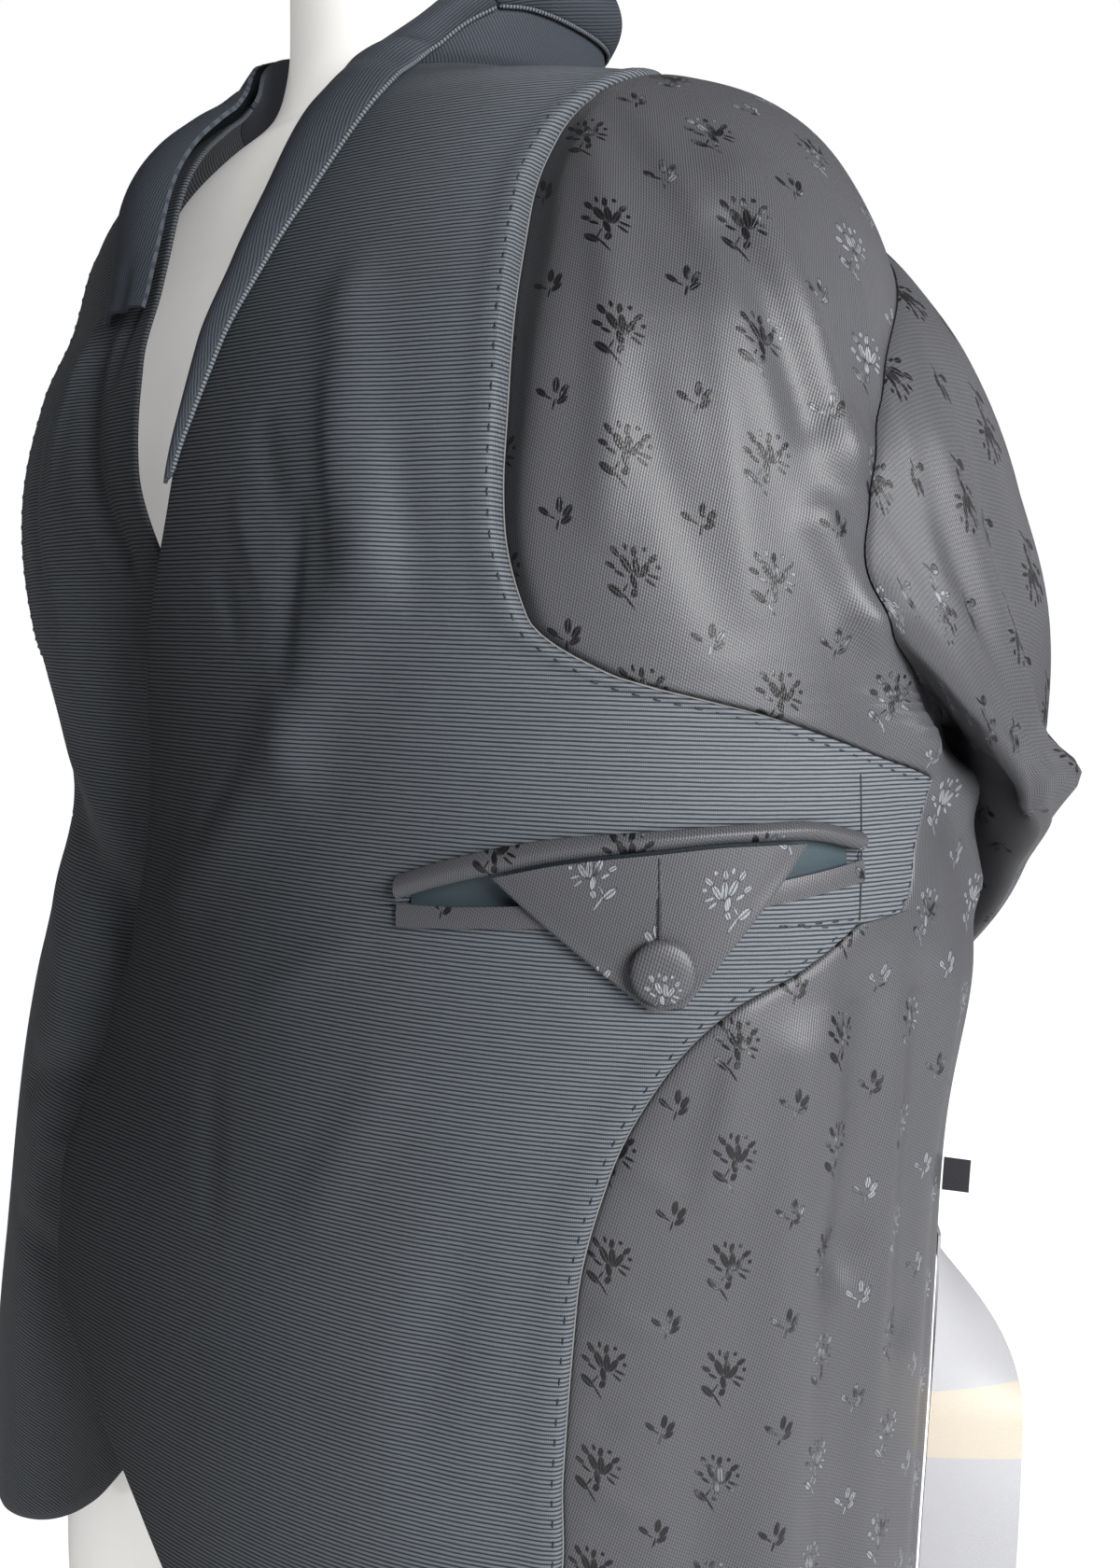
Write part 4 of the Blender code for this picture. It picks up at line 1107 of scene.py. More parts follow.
@dataclass(frozen=True)
class FloralLining(Finish):
    """Satin twill with a woven repeat of flower sprays and leaf sprigs, whose dark petals a painted sheen
    turns light in places.
    """

    ground: tuple = (.102, .103, .112)
    shade: tuple = (.030, .030, .034)
    dark: tuple = (.006, .006, .007)
    # the petals' colour where the painted sheen lies on them
    light: tuple = (.26, .27, .29)
    twill_pitch: float = 0.00080
    twill_turn: float = -0.24
    cell_width: float = 0.0395
    cell_height: float = 0.0350
    painted_sheen_from: float = -0.062          # cloth u at which the painted sheen starts to turn the petals light
    painted_sheen_span: float = 0.090
    hollow_shade: float = 0.50          # how much darker the cloth is in the hollow at a seam
    relief: tuple = (0.00010, 0.6)

    def motif(self, graph: Graph, effects: Effects, cell, group, shift: float) -> tuple:
        """Masks of one motif of the repeat, read in the cell's own coordinates.

        Args:
            graph: the material's graph.
            effects: the shared groups.
            cell: coordinates that grow by 1 a cell.
            group: the motif's group.
            shift: where in the cell its centre is.

        Returns:
            The mask of its petals, and the mask with their rims.
        """
        parts = graph.node("ShaderNodeSeparateXYZ", {0: cell})
        local = []
        for index, size in ((0, self.cell_width), (1, self.cell_height)):
            moved = graph.math("ADD", parts.outputs[index], 0.5 - shift)
            share = graph.math("SUBTRACT", graph.math("FRACT", moved), 0.5)
            local.append(graph.math("MULTIPLY", share, size * 1000))
        spot = graph.node("ShaderNodeCombineXYZ", {0: local[0], 1: local[1]})
        placed = graph.group(group, Vector=spot.outputs[0])
        return placed.outputs["Mask"], placed.outputs["Rim"]

    def make(self, effects: Effects) -> bpy.types.Material:
        """Build the material.

        Args:
            effects: the shared groups.

        Returns:
            The material.
        """
        material, graph, shader = self.start()
        chart = graph.chart()
        place = graph.place()
        twill = effects.woven(graph, chart, self.twill_turn, self.twill_pitch, 0.25)
        weft = effects.woven(graph, chart, self.twill_turn + 1.35, self.twill_pitch * 1.3, 0.5)
        weave = graph.math("MULTIPLY_ADD", weft, 0.28, graph.math("MULTIPLY", twill, 0.72))
        tone = effects.uneven(graph, place, 14.0, 0.10)
        colour = graph.tinted(graph.mix(weave, self.shade, self.ground), tone)
        hollow = graph.part(graph.chart("hollow"), 0)
        colour = graph.tinted(colour, graph.math("MULTIPLY_ADD", hollow, -self.hollow_shade, 1.0))
        rough = graph.math("MULTIPLY_ADD", weave, -0.08, self.roughness + 0.04)
        cell = graph.chart("repeat")
        big = self.motif(graph, effects, cell, effects.spray, 0.0)
        small = self.motif(graph, effects, cell, effects.sprig, 0.5)
        mask, rim = (graph.math("MAXIMUM", one, other) for one, other in zip(big, small))
        # painted sheen: petals turn from dark to light across the cloth's u, in patches of noise
        u = graph.part(chart, 0)
        reach = graph.math("DIVIDE", graph.math("SUBTRACT", u, self.painted_sheen_from), self.painted_sheen_span)
        patch = graph.math("ADD", graph.math("MULTIPLY", graph.noise(place, 34.0, 1.0), 2.6),
                           graph.math("MULTIPLY", graph.noise(place, 230.0, 1.0), 2.2))
        painted_sheen = graph.ease(graph.math("ADD", reach, graph.math("SUBTRACT", patch, 2.4)), 0.0, 1.0)
        floats = effects.woven(graph, chart, 0.15, 0.0007, 0.8)
        petals = graph.tinted(graph.mix(painted_sheen, self.dark, self.light),
                              graph.math("MULTIPLY_ADD", floats, 0.55, 0.55))
        colour = graph.mix(graph.math("MULTIPLY", rim, 0.80), colour, self.dark)
        colour = graph.mix(graph.math("MULTIPLY", mask, 0.95), colour, petals)
        height = graph.math("MULTIPLY_ADD", mask, 1.2, weave)
        rough = graph.math("MULTIPLY_ADD", mask, -0.06, rough)
        graph.link(colour, shader.inputs["Base Color"])
        graph.link(rough, shader.inputs["Roughness"])
        self.bump(graph, shader, height)
        return material


@dataclass(frozen=True)
class PlainCloth(Finish):
    """Plain or twilled cloth: two crossing threads and a mottled tone between two colours."""

    ground: tuple = (.060, .070, .086)
    shade: tuple = (.034, .041, .052)
    pitch: float = 0.0007
    mottle: float = 0.18
    band: tuple = ()                    # from and to which cloth height a warmer band runs
    warm: tuple = (.52, .45, .33)

    def make(self, effects: Effects) -> bpy.types.Material:
        """Build the material.

        Args:
            effects: the shared groups.

        Returns:
            The material.
        """
        material, graph, shader = self.start()
        chart = graph.chart()
        place = graph.place()
        warp = effects.woven(graph, chart, 0.8, self.pitch, 0.5)
        weft = effects.woven(graph, chart, 2.2, self.pitch * 1.2, 0.9)
        weave = graph.math("MULTIPLY_ADD", warp, 0.6, graph.math("MULTIPLY", weft, 0.4))
        tone = effects.uneven(graph, place, 24.0, self.mottle)
        colour = graph.tinted(graph.mix(weave, self.shade, self.ground), tone)
        if self.band:
            up = graph.part(chart, 1)
            low, high = self.band
            inside = graph.math("MULTIPLY", graph.ease(up, low - .0004, low + .0004),
                                graph.rest(graph.ease(up, high - .0004, high + .0004)))
            colour = graph.mix(graph.math("MULTIPLY", inside, 0.7), colour, self.warm)
        graph.link(colour, shader.inputs["Base Color"])
        rough = graph.math("MULTIPLY_ADD", weave, -0.08, self.roughness + 0.04)
        graph.link(rough, shader.inputs["Roughness"])
        self.bump(graph, shader, weave)
        return material


@dataclass(frozen=True)
class GlossShell(Finish):
    """A moulded glossy shell: warm white, faintly uneven, with a little dust in its gloss."""

    shell: tuple = (.860, .845, .820)
    dusty: tuple = (.800, .785, .760)
    glow: float = 0.38                  # own light, fitted to the photograph
    relief: tuple = (0.00006, 0.35)

    def make(self, effects: Effects) -> bpy.types.Material:
        """Build the material.

        Args:
            effects: the shared groups.

        Returns:
            The material.
        """
        material, graph, shader = self.start()
        place = graph.place()
        cloud = graph.ease(graph.noise(place, 7.0, 4.0), 0.42, 0.68)
        tone = effects.uneven(graph, place, 40.0, 0.012)
        colour = graph.tinted(graph.mix(cloud, self.shell, self.dusty), tone)
        graph.link(colour, shader.inputs["Base Color"])
        graph.link(graph.math("MULTIPLY_ADD", cloud, 0.07, self.roughness), shader.inputs["Roughness"])
        shader.inputs["Emission Color"].default_value = (*self.shell, 1.0)
        shader.inputs["Emission Strength"].default_value = self.glow
        self.bump(graph, shader, graph.noise(place, 60.0, 3.0))
        return material


class Wardrobe:
    """All finishes of the object."""

    def __init__(self) -> None:
        """Build every material once."""
        effects = Effects()
        self.made = {
            Look.RIBBED: RibbedCloth("ribbed_facing", roughness=.50, specular=.10).make(effects),
            Look.FLORAL: FloralLining("floral_lining", roughness=.38, specular=.30).make(effects),
            Look.WOOL: RibbedCloth("outer_cloth", roughness=.58, specular=.16, pitch=.0013, turn=.22,
                                   wander=.5, groove=(.028, .032, .041), top=(.056, .063, .079),
                                   painted_falloff=(1.0, 1.0)).make(effects),
            Look.POCKETING: PlainCloth("pocketing", roughness=.6, specular=.3, sheen=.2, pitch=.0006,
                                       ground=(.046, .070, .084), shade=(.022, .034, .042)).make(effects),
            Look.DARK_TAPE: PlainCloth("dark_tape", roughness=.5, specular=.4, mottle=.25,
                                       ground=(.020, .020, .026), shade=(.008, .008, .010)).make(effects),
            Look.WHITE_TAPE: PlainCloth("white_tape", roughness=.38, specular=.5, sheen=.1, mottle=.04,
                                        ground=(.40, .40, .42), shade=(.34, .34, .36),
                                        band=(.178, .203)).make(effects),
            Look.GLOSS: GlossShell("gloss_shell", roughness=.16, specular=.5, coat=.35,
                                   coat_roughness=.06).make(effects)}

    def __getitem__(self, look: Look) -> bpy.types.Material:
        """The material of a look."""
        return self.made[look]


# ------------------------------------------------------------------ cloth pieces
class Repeat:
    """Where the lining's woven repeat lies, by cloth length from the side and by level."""

    LOW_LEVEL, HIGH_LEVEL = 0.360, 0.460
    LOW_ANCHOR, LOW_WIDTH = -0.0670, 0.0355
    HIGH_ANCHOR, HIGH_WIDTH = -0.0500, 0.0425
    TOP_ROW, ROW_HEIGHT = 0.6335, 0.0350

    @classmethod
    def cells(cls, across: Array, up: Array) -> Array:
        """Cell numbers of a place: its distance from an anchor, over a width that eases with height.

        Args:
            across: length of cloth from the side.
            up: height on the cloth.

        Returns:
            Numbers that grow by 1 a cell, with a last axis of 2.
        """
        share = smooth((up - cls.LOW_LEVEL) / (cls.HIGH_LEVEL - cls.LOW_LEVEL))
        anchor = cls.LOW_ANCHOR + share * (cls.HIGH_ANCHOR - cls.LOW_ANCHOR)
        width = cls.LOW_WIDTH + share * (cls.HIGH_WIDTH - cls.LOW_WIDTH)
        return paired((across - anchor) / width, (up - cls.TOP_ROW) / cls.ROW_HEIGHT)


def dress(piece: bpy.types.Object, look: Look, wardrobe: Wardrobe, node: str = "") -> bpy.types.Object:
    """Give a piece its finish and its body, and hide the node that it stands for.

    Args:
        piece: the finished object.
        look: its finish.
        wardrobe: the materials.
        node: the node, where it stands for one.

    Returns:
        The same object.
    """
    piece.data.materials.append(wardrobe[look])
    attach(piece, "root")
    if node:
        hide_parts(node)
    log.info("%s: %d faces", piece.name, len(piece.data.polygons))
    return piece


@dataclass
class SewnPiece:
    """One piece of cloth: its name, the node that it stands for and how it is held."""

    name: str
    node: str
    look: Look
    wardrobe: Wardrobe
    held: str = "draped"
    rests_on: tuple = ("dress_form",)
    least_side: float = 0.010           # the least length that is worked out for a narrow strip's cut

    def settle(self, piece: bpy.types.Object, outer: Array, closed: bool = False, extra: tuple = (),
               length: float | None = None) -> bpy.types.Object:
        """Dress the piece and place it on the body, after working out the length of its flat cut.

        Args:
            piece: the finished object.
            outer: its outer grid of points.
            closed: whether it is a tube.
            extra: pieces sewn on it; not used.
            length: length of its cut, by default that of its longest column.

        Returns:
            The same object.
        """
        around = np.concatenate([outer, outer[:, :1]], 1) if closed else outer
        if length is None:
            length = row_lengths(around.transpose(1, 0, 2))[:, -1].max()
        length = max(length, self.least_side)
        dress(piece, self.look, self.wardrobe, self.node)
        return piece

    def trim(self, piece: bpy.types.Object, look: Look) -> bpy.types.Object:
        """Dress a small part that is sewn on this piece."""
        return dress(piece, look, self.wardrobe)


def spread(first: Array, last: Array, degree: Array, columns: int, insets: tuple) -> tuple:
    """Spread columns from edge to edge, with closer ones just inside both edges.

    Args:
        first: angle of the first edge, row by row.
        last: angle of the last edge.
        degree: length of a degree, row by row.
        columns: columns in all.
        insets: distances of the close columns from an edge.

    Returns:
        Angles of shape (rows, columns), and the distance of each point to the nearer edge.
    """
    inset = np.array(insets)
    near = first[:, None] + inset / degree[:, None]
    far = last[:, None] - inset[::-1] / degree[:, None]
    share = np.linspace(0, 1, columns - 2 * len(insets) + 2)[1:-1]
    middle = near[:, -1:] * (1 - share) + far[:, :1] * share
    angles = np.concatenate([near, middle, far], 1)
    distance = np.minimum(angles - first[:, None], last[:, None] - angles) * degree[:, None]
    return angles, distance


def rounded(distance: Array, radius: float, least: float) -> Array:
    """Share of a wall's height near its edge: a quarter circle from the least share up to 1."""
    inside = np.clip(1 - distance / radius, 0, 1)
    return least + (1 - least) * np.sqrt(1 - inside ** 2)


@dataclass
class Panel(SewnPiece):
    """A panel of the body between two upright edges."""

    side: Side = Side.LEFT
    low: float = 0.060
    high: float = 0.676
    insets: tuple = (0.0, .0003, .0008, .0016, .0026)
    edge_radius: float = 0.0022
    edge_least: float = 0.35
    hem_radius: float = 0.0020

    def edges(self, levels: Array) -> tuple:
        """Angles of the first and the last edge, row by row."""
        raise NotImplementedError

    def lining_edges(self, levels: Array, back: bool) -> tuple:
        """Edges of the back, from side seam to side seam, or of a front, from the facing to the side."""
        body = BODY_SURFACE
        if back:
            edge = body.seam_edge(SIDE_EDGE, 2, levels, SEAM_GAP / 2, Side.LEFT)
            return edge, 180 - edge
        return (body.seam_edge(FACING_SEAM, 1, levels, SEAM_GAP / 2, self.side),
                body.seam_edge(SIDE_EDGE, 1, levels, -SEAM_GAP / 2, self.side))

    def lift(self, angles: Array, levels: Array) -> Array:
        """Lift of the whole wall off the body surface."""
        return np.zeros(np.broadcast(angles, levels).shape)

    def across(self, angles: Array) -> Array:
        """Length of cloth from the side."""
        return angles * BODY_SURFACE.side_degree

    def columns(self, width: float) -> int:
        """How many columns a panel of that width has."""
        return int(width / COLUMN_STEP) + 2 * len(self.insets)

    def build(self) -> bpy.types.Object:
        """Build the panel: a wall over a grid of angles and levels, rounded at its edges.

        Returns:
            The finished piece.
        """
        body = BODY_SURFACE
        levels = body.even_levels(self.low, self.high, ROW_STEP)
        first, last = self.edges(levels)
        degree = body.degree((first + last) / 2, levels, self.side)
        columns = self.columns(((last - first) * degree).max())
        angles, distance = spread(first, last, degree, columns, self.insets)
        share = rounded(distance, self.edge_radius, self.edge_least)
        share = share * rounded((levels - self.low)[:, None], self.hem_radius, self.edge_least)
        lift = self.lift(angles, levels[:, None])
        outer, inner = body.skins(angles, levels[:, None], (lift + WALL * share, lift), self.side)
        piece = cloth_wall(self.name, outer, inner, self.charts(outer, angles, levels))
        straight = body.point(np.full(levels.shape, (first + last).mean() / 2), levels, self.side)
        return self.settle(piece, outer, length=float(run_along(straight)[-1]))

    def charts(self, outer: Array, angles: Array, levels: Array) -> dict:
        """Cloth lengths across and up, for the weave and the repeat.

        Args:
            outer: the outer grid.
            angles: its angles.
            levels: its levels, row by row.

        Returns:
            UV grids by name.
        """
        across = self.across(angles)
        up = BODY_SURFACE.cloth_height(outer)
        charted = up - outer[..., 2] + levels[:, None]
        return {"cloth": paired(across, up), "repeat": Repeat.cells(across, charted)}


def seam_sink(away: Array, levels: Array, side: Side, width: Array) -> Array:
    """Depth of a bell-shaped hollow along the facing's seam, deeper at the left chest.

    Args:
        away: distance from the seam.
        levels: height on the surface.
        side: the half of the jacket.
        width: the bell's width.

    Returns:
        Depths, 0 or more.
    """
    depth = LEAST_SINK + column(SEAM_SINK, levels, 1) * (1.0 if side is Side.LEFT else RIGHT_SINK)
    return depth * np.exp(-(away / width) ** 2)


@dataclass
class Facing(Panel):
    """The ribbed facing, from the front edge to the lining, with the pocket tab."""

    seam_rise: float = 0.0009
    seam_spread: float = 0.0060
    turn_width: float = 0.0013
    well_depth: float = 0.0042
    well_ease: float = 0.0055
    well_ends: tuple = (-48.6, -6.0)
    well_end_ease: float = 1.2

    def edges(self, levels: Array) -> tuple:
        """The front edge, and the seam to the lining."""
        edge = column(FRONT_EDGE, levels, 1 if self.side is Side.LEFT else 2)
        return edge, BODY_SURFACE.seam_edge(FACING_SEAM, 1, levels, -SEAM_GAP / 2, self.side)

    def lift(self, angles: Array, levels: Array) -> Array:
        """A low ridge along the lining's seam, and the well of the pocket in the left facing."""
        seam = column(FACING_SEAM, levels, 1)
        away = (seam - angles) * BODY_SURFACE.side_degree
        ridge = self.seam_rise * np.exp(-((away - self.seam_spread) / self.seam_spread) ** 2)
        ridge = ridge - seam_sink(away, levels, self.side, self.turn_width)
        if self.side is Side.RIGHT:
            return ridge
        low, high = column(POCKET, angles, 3), column(POCKET, angles, 2)
        inside = (smooth((levels - low) / self.well_ease + 1) * smooth((high - levels) / self.well_ease + 1))
        ends = (smooth((angles - self.well_ends[0]) / self.well_end_ease)
                * smooth((self.well_ends[1] - angles) / self.well_end_ease))
        return ridge - self.well_depth * inside * ends


@dataclass
class FrontLining(Panel):
    """The body lining between the facing and the side seam, armhole and shoulder."""

    low: float = 0.0854
    high: float = 0.6756
    fold_edge: float = 0.0035
    full_shade_depth: float = 0.0035

    def lift(self, angles: Array, levels: Array) -> Array:
        """The hollow along the facing's seam."""
        away = (angles - column(FACING_SEAM, levels, 1)) * BODY_SURFACE.side_degree
        return -seam_sink(away, levels, self.side, column(SEAM_SINK, levels, 2))

    def charts(self, outer: Array, angles: Array, levels: Array) -> dict:
        """The panel's charts, and the share of shade in the hollow, which ends at a soft fold.

        Args:
            outer: the outer grid.
            angles: its angles.
            levels: its levels, row by row.

        Returns:
            UV grids by name.
        """
        charts = super().charts(outer, angles, levels)
        rows = levels[:, None]
        away = (angles - column(FACING_SEAM, rows, 1)) * BODY_SURFACE.side_degree
        reach = smooth((column(SEAM_SINK, rows, 2) - away) / self.fold_edge + 0.5)
        share = reach * smooth(column(SEAM_SINK, rows, 1) / self.full_shade_depth)
        return {**charts, "hollow": paired(share, 0.0)}

    def edges(self, levels: Array) -> tuple:
        """The seam to the facing, and the side seam with the armhole above it."""
        return self.lining_edges(levels, back=False)


@dataclass
class BackLining(Panel):
    """The back lining with its ease pleat down the middle."""

    low: float = 0.0854
    high: float = 0.6756
    waist_level: float = 0.35
    widening: float = 1.15              # of the back's repeat over the length of a degree there

    def edges(self, levels: Array) -> tuple:
        """The side seam with the armhole, on both sides."""
        return self.lining_edges(levels, back=True)

    def across(self, angles: Array) -> Array:
        """Length of cloth from the middle of the back."""
        middle = BODY_SURFACE.degree(np.array(90.0), np.array(self.waist_level), Side.LEFT)
        return (angles - 90) * middle * self.widening


@dataclass
class HemBand(Panel):
    """The turned-up strip of outer cloth along the hem of a front or of the back."""

    low: float = 0.060
    high: float = 0.085
    back: bool = False

    def edges(self, levels: Array) -> tuple:
        """From the facing to the side seam, or from side seam to side seam."""
        return self.lining_edges(levels, self.back)


@dataclass
class Sleeve:
    """One sleeve, flattened against the body: its lining and its cuff."""

    side: Side
    wardrobe: Wardrobe
    clearance: float = 0.0050
    squareness: float = 2.1
    head_lift: float = 0.0023
    head_ease: float = 0.0022
    swell_power: float = 1.25
    ease_power: float = 0.5
    drop_power: float = 1.3
    around_steps: int = 150
    head_rows: int = 34
    rows_between: int = 20
    cuff_rows: int = 14
    armhole_steps: int = 1441
    chart_shift: float = 0.16           # of the weave round the sleeve; it also moves where the lining's painted sheen falls

    def armhole(self) -> tuple:
        """Angles, levels and shares of length round the armhole, down the front and up the back.

        Returns:
            Three arrays of one value for each column.
        """
        middle, half = (ARMHOLE_TOP + ARMHOLE_BOTTOM) / 2, (ARMHOLE_TOP - ARMHOLE_BOTTOM) / 2
        turn = np.linspace(0, 2 * np.pi, self.armhole_steps)
        levels = middle + half * np.cos(turn)
        angles = np.where(turn <= np.pi, column(SIDE_EDGE, levels, 1), column(SIDE_EDGE, levels, 2))
        x, y = angles * BODY_SURFACE.side_degree, levels
        run = np.concatenate([[0], np.cumsum(np.hypot(np.diff(x), np.diff(y)))])
        share = np.linspace(0, 1, self.around_steps, endpoint=False)
        return (np.interp(share * run[-1], run, angles), np.interp(share * run[-1], run, levels), share)

    def ring(self, row: Array, around: Array, inset: float) -> tuple:
        """Angles, levels and lifts of one flattened ring: a rounded oval, leant by its tilt.

        Args:
            row: angle, level, tilt, half width and thickness.
            around: angles round the ring in radians.
            inset: how far the skin lies inside the outer one.

        Returns:
            Three arrays of one value for each column.
        """
        angle, level, tilt, half_width, thickness = row
        power = 2 / self.squareness
        cosine, sine = np.cos(around), np.sin(around)
        across = (half_width - inset) * np.sign(cosine) * np.abs(cosine) ** power
        out = (thickness / 2 - inset) * np.sign(sine) * np.abs(sine) ** power
        degree = BODY_SURFACE.degree(np.array(angle), np.array(level), self.side)
        lean = np.radians(tilt)
        return (angle + across * np.cos(lean) / degree, level + across * np.sin(lean),
                self.clearance + thickness / 2 + out)

    def skin(self, rows: list, numbers: Array, around: Array) -> Array:
        """Points of a stack of rings, with the sleeve's own troughs.

        Args:
            rows: angles, levels and lifts of each ring.
            numbers: the row number of each ring.
            around: angles round the ring in radians.

        Returns:
            Points of shape (rings, columns, 3).
        """
        angles, levels, lifts = (np.array([row[index] for row in rows]) for index in range(3))
        degrees = np.degrees(around)[None, :]
        for place, turn, start, end, spread_, depth in SLEEVE_FOLDS:
            along = (numbers - start) / (end - start)
            away = (degrees - place - turn * along[:, None] + 180) % 360 - 180
            reach = smooth((numbers - start) / SLEEVE_FOLD_FADE) * smooth((end - numbers) / SLEEVE_FOLD_FADE)
            lifts = lifts - depth * reach[:, None] * np.exp(-(away / spread_) ** 2)
        return BODY_SURFACE.skins(angles, levels, (lifts,), self.side)[0]

    def lining_skin(self, inset: float, rim: float) -> Array:
        """One skin of the lining, from the armhole to the cuff.

        Args:
            inset: how far it lies inside the outer skin.
            rim: how far it starts past the armhole.

        Returns:
            Points of shape (rings, columns, 3).
        """
        loop_angle, loop_level, share = self.armhole()
        around = np.radians(90 + 360 * share)
        degree = BODY_SURFACE.side_degree
        x, y = loop_angle * degree, loop_level
        reach = np.hypot(x - x.mean(), y - y.mean())
        rim_angle = loop_angle + rim * (x - x.mean()) / reach / degree
        rim_level = loop_level + rim * (y - y.mean()) / reach
        first = self.ring(SLEEVE[0], around, inset)
        stations = np.linspace(0, 1, self.head_rows, endpoint=False)
        rows = []
        for station in stations:
            swell = np.sin(station * np.pi / 2) ** self.swell_power
            ease = self.head_ease * np.sin(station * np.pi) ** self.ease_power
            drop = station ** self.drop_power
            rows.append((rim_angle + drop * (first[0] - rim_angle), rim_level + drop * (first[1] - rim_level),
                         self.head_lift + ease + swell * (first[2] - self.head_lift)))
        fine = refine(SLEEVE, (len(SLEEVE) - 1) * self.rows_between + 1)
        rows += [self.ring(row, around, inset) for row in fine]
        numbers = np.concatenate([np.interp(stations, HEAD_STATIONS, np.arange(len(HEAD_STATIONS))),
                                  len(HEAD_STATIONS) - 1 + np.linspace(0, len(SLEEVE) - 1, len(fine))])
        return self.skin(rows, numbers, around)

    def chart(self, outer: Array) -> dict:
        """Lengths round and along a tube of cloth."""
        around = np.concatenate([outer, outer[:, :1]], 1)
        across = row_lengths(around)
        along = row_lengths(outer.transpose(1, 0, 2))[outer.shape[1] // 4]
        cloth = paired(across, along[:, None])
        cell = (FloralLining.cell_width, FloralLining.cell_height)
        return {"cloth": cloth - (self.chart_shift, 0), "repeat": cloth / cell}

    def build(self) -> list:
        """Build the lining tube and the cuff.

        Returns:
            The finished pieces.
        """
        word = self.side.word
        outer, inner = (self.lining_skin(inset, rim) for inset, rim in zip((0.0, WALL), HEAD_RIMS))
        lining = SewnPiece(f"sleeve_{word}", f"sleeve_lining_{word}", Look.FLORAL, self.wardrobe,
                           held="hung", rests_on=(f"front_lining_{word}",))
        tube_piece = cloth_wall(lining.name, outer, inner, self.chart(outer), closed=True)
        around = np.radians(90 + 360 * np.linspace(0, 1, self.around_steps, endpoint=False))
        cuff_rows = refine(CUFF, self.cuff_rows)
        numbers = len(HEAD_STATIONS) - 1 + len(SLEEVE) + np.linspace(0, 1, len(cuff_rows))
        skins = [self.skin([self.ring(row, around, inset) for row in cuff_rows], numbers, around)
                 for inset in (0.0, WALL)]
        cuff = SewnPiece(f"cuff_turn_up_{word}", f"cuff_{word}", Look.WOOL, self.wardrobe,
                         held="hung", rests_on=(lining.name,))
        cuff_piece = cloth_wall(cuff.name, skins[0], skins[1], self.chart(skins[0]), closed=True)
        return [lining.settle(tube_piece, outer, closed=True), cuff.settle(cuff_piece, skins[0], closed=True)]


@dataclass
class CollarStand(SewnPiece):
    """The collar band that stands round the neck."""

    columns: int = 320
    rows: int = 16

    def build(self) -> bpy.types.Object:
        """Build the band: rows spread from the neck seam up to its curved top."""
        angles = np.linspace(STAND_TOP[0, 0], STAND_TOP[-1, 0], self.columns)[None, :]
        top = column(STAND_TOP, angles, 1)
        share = np.linspace(0, 1, self.rows)[:, None]
        bottom = BODY_SURFACE.neck_level + SEAM_GAP
        levels = bottom + share * (top - bottom)
        outer, inner = BODY_SURFACE.skins(angles + 0 * levels, levels, (WALL, 0.0), Side.LEFT)
        across = row_lengths(outer)
        cloth = paired(across, levels)
        return self.settle(cloth_wall(self.name, outer, inner, {"cloth": cloth, "repeat": cloth}), outer)


@dataclass
class Roll(SewnPiece):
    """A rolled strip of outer cloth, with the facing's ribbed turn along its free edge."""

    table: Array = None
    side: Side = Side.LEFT
    step: float = 0.0018
    columns: int = 22
    arc: tuple = (0.15, 0.82)
    edge_drop: float = 0.0016
    piping_radius: float = 0.00085

    def build(self) -> bpy.types.Object:
        """Build the strip: it swells as an arc does from the roll to its rounded free edge.

        Returns:
            The finished strip, with its piping.
        """
        rough = refine(self.table, 200)
        path = BODY_SURFACE.point(rough[:, 2], rough[:, 3], self.side)
        table = refine(self.table, int(run_along(path)[-1] / self.step))
        share = np.concatenate([np.linspace(0, .9, self.columns - 6), [.93, .955, .975, .988, .996, 1.0]])
        angles = table[:, 0:1] * (1 - share) + table[:, 2:3] * share
        levels = table[:, 1:2] * (1 - share) + table[:, 3:4] * share
        swell = table[:, 4:5] * np.sin(np.pi * (self.arc[0] + self.arc[1] * share))
        near_edge = np.clip((share - 0.93) / 0.07, 0, 1)
        drop = self.edge_drop * (1 - np.sqrt(1 - near_edge ** 2))
        lift = ON_CLOTH + swell
        outer, inner = BODY_SURFACE.skins(angles, levels, (lift + WALL - drop * 0.8, lift), self.side)
        across = row_lengths(outer)
        along = row_lengths(outer.transpose(1, 0, 2))[self.columns // 2]
        cloth = paired(across, along[:, None])
        strip = cloth_wall(self.name, outer, inner, {"cloth": cloth, "repeat": cloth})
        piping = self.trim(self.build_piping(table), Look.RIBBED)
        return self.settle(strip, outer, extra=(piping,))

    def build_piping(self, table: Array) -> bpy.types.Object:
        """The facing's narrow turn: a tube along the free edge."""
        lift = ON_CLOTH + table[:, 4] * np.sin(np.pi * sum(self.arc)) + WALL * 0.45
        path = BODY_SURFACE.skins(table[:, 2], table[:, 3], (lift,), self.side)[0]
        return tube(self.name + "_turn", path, self.piping_radius, 10)


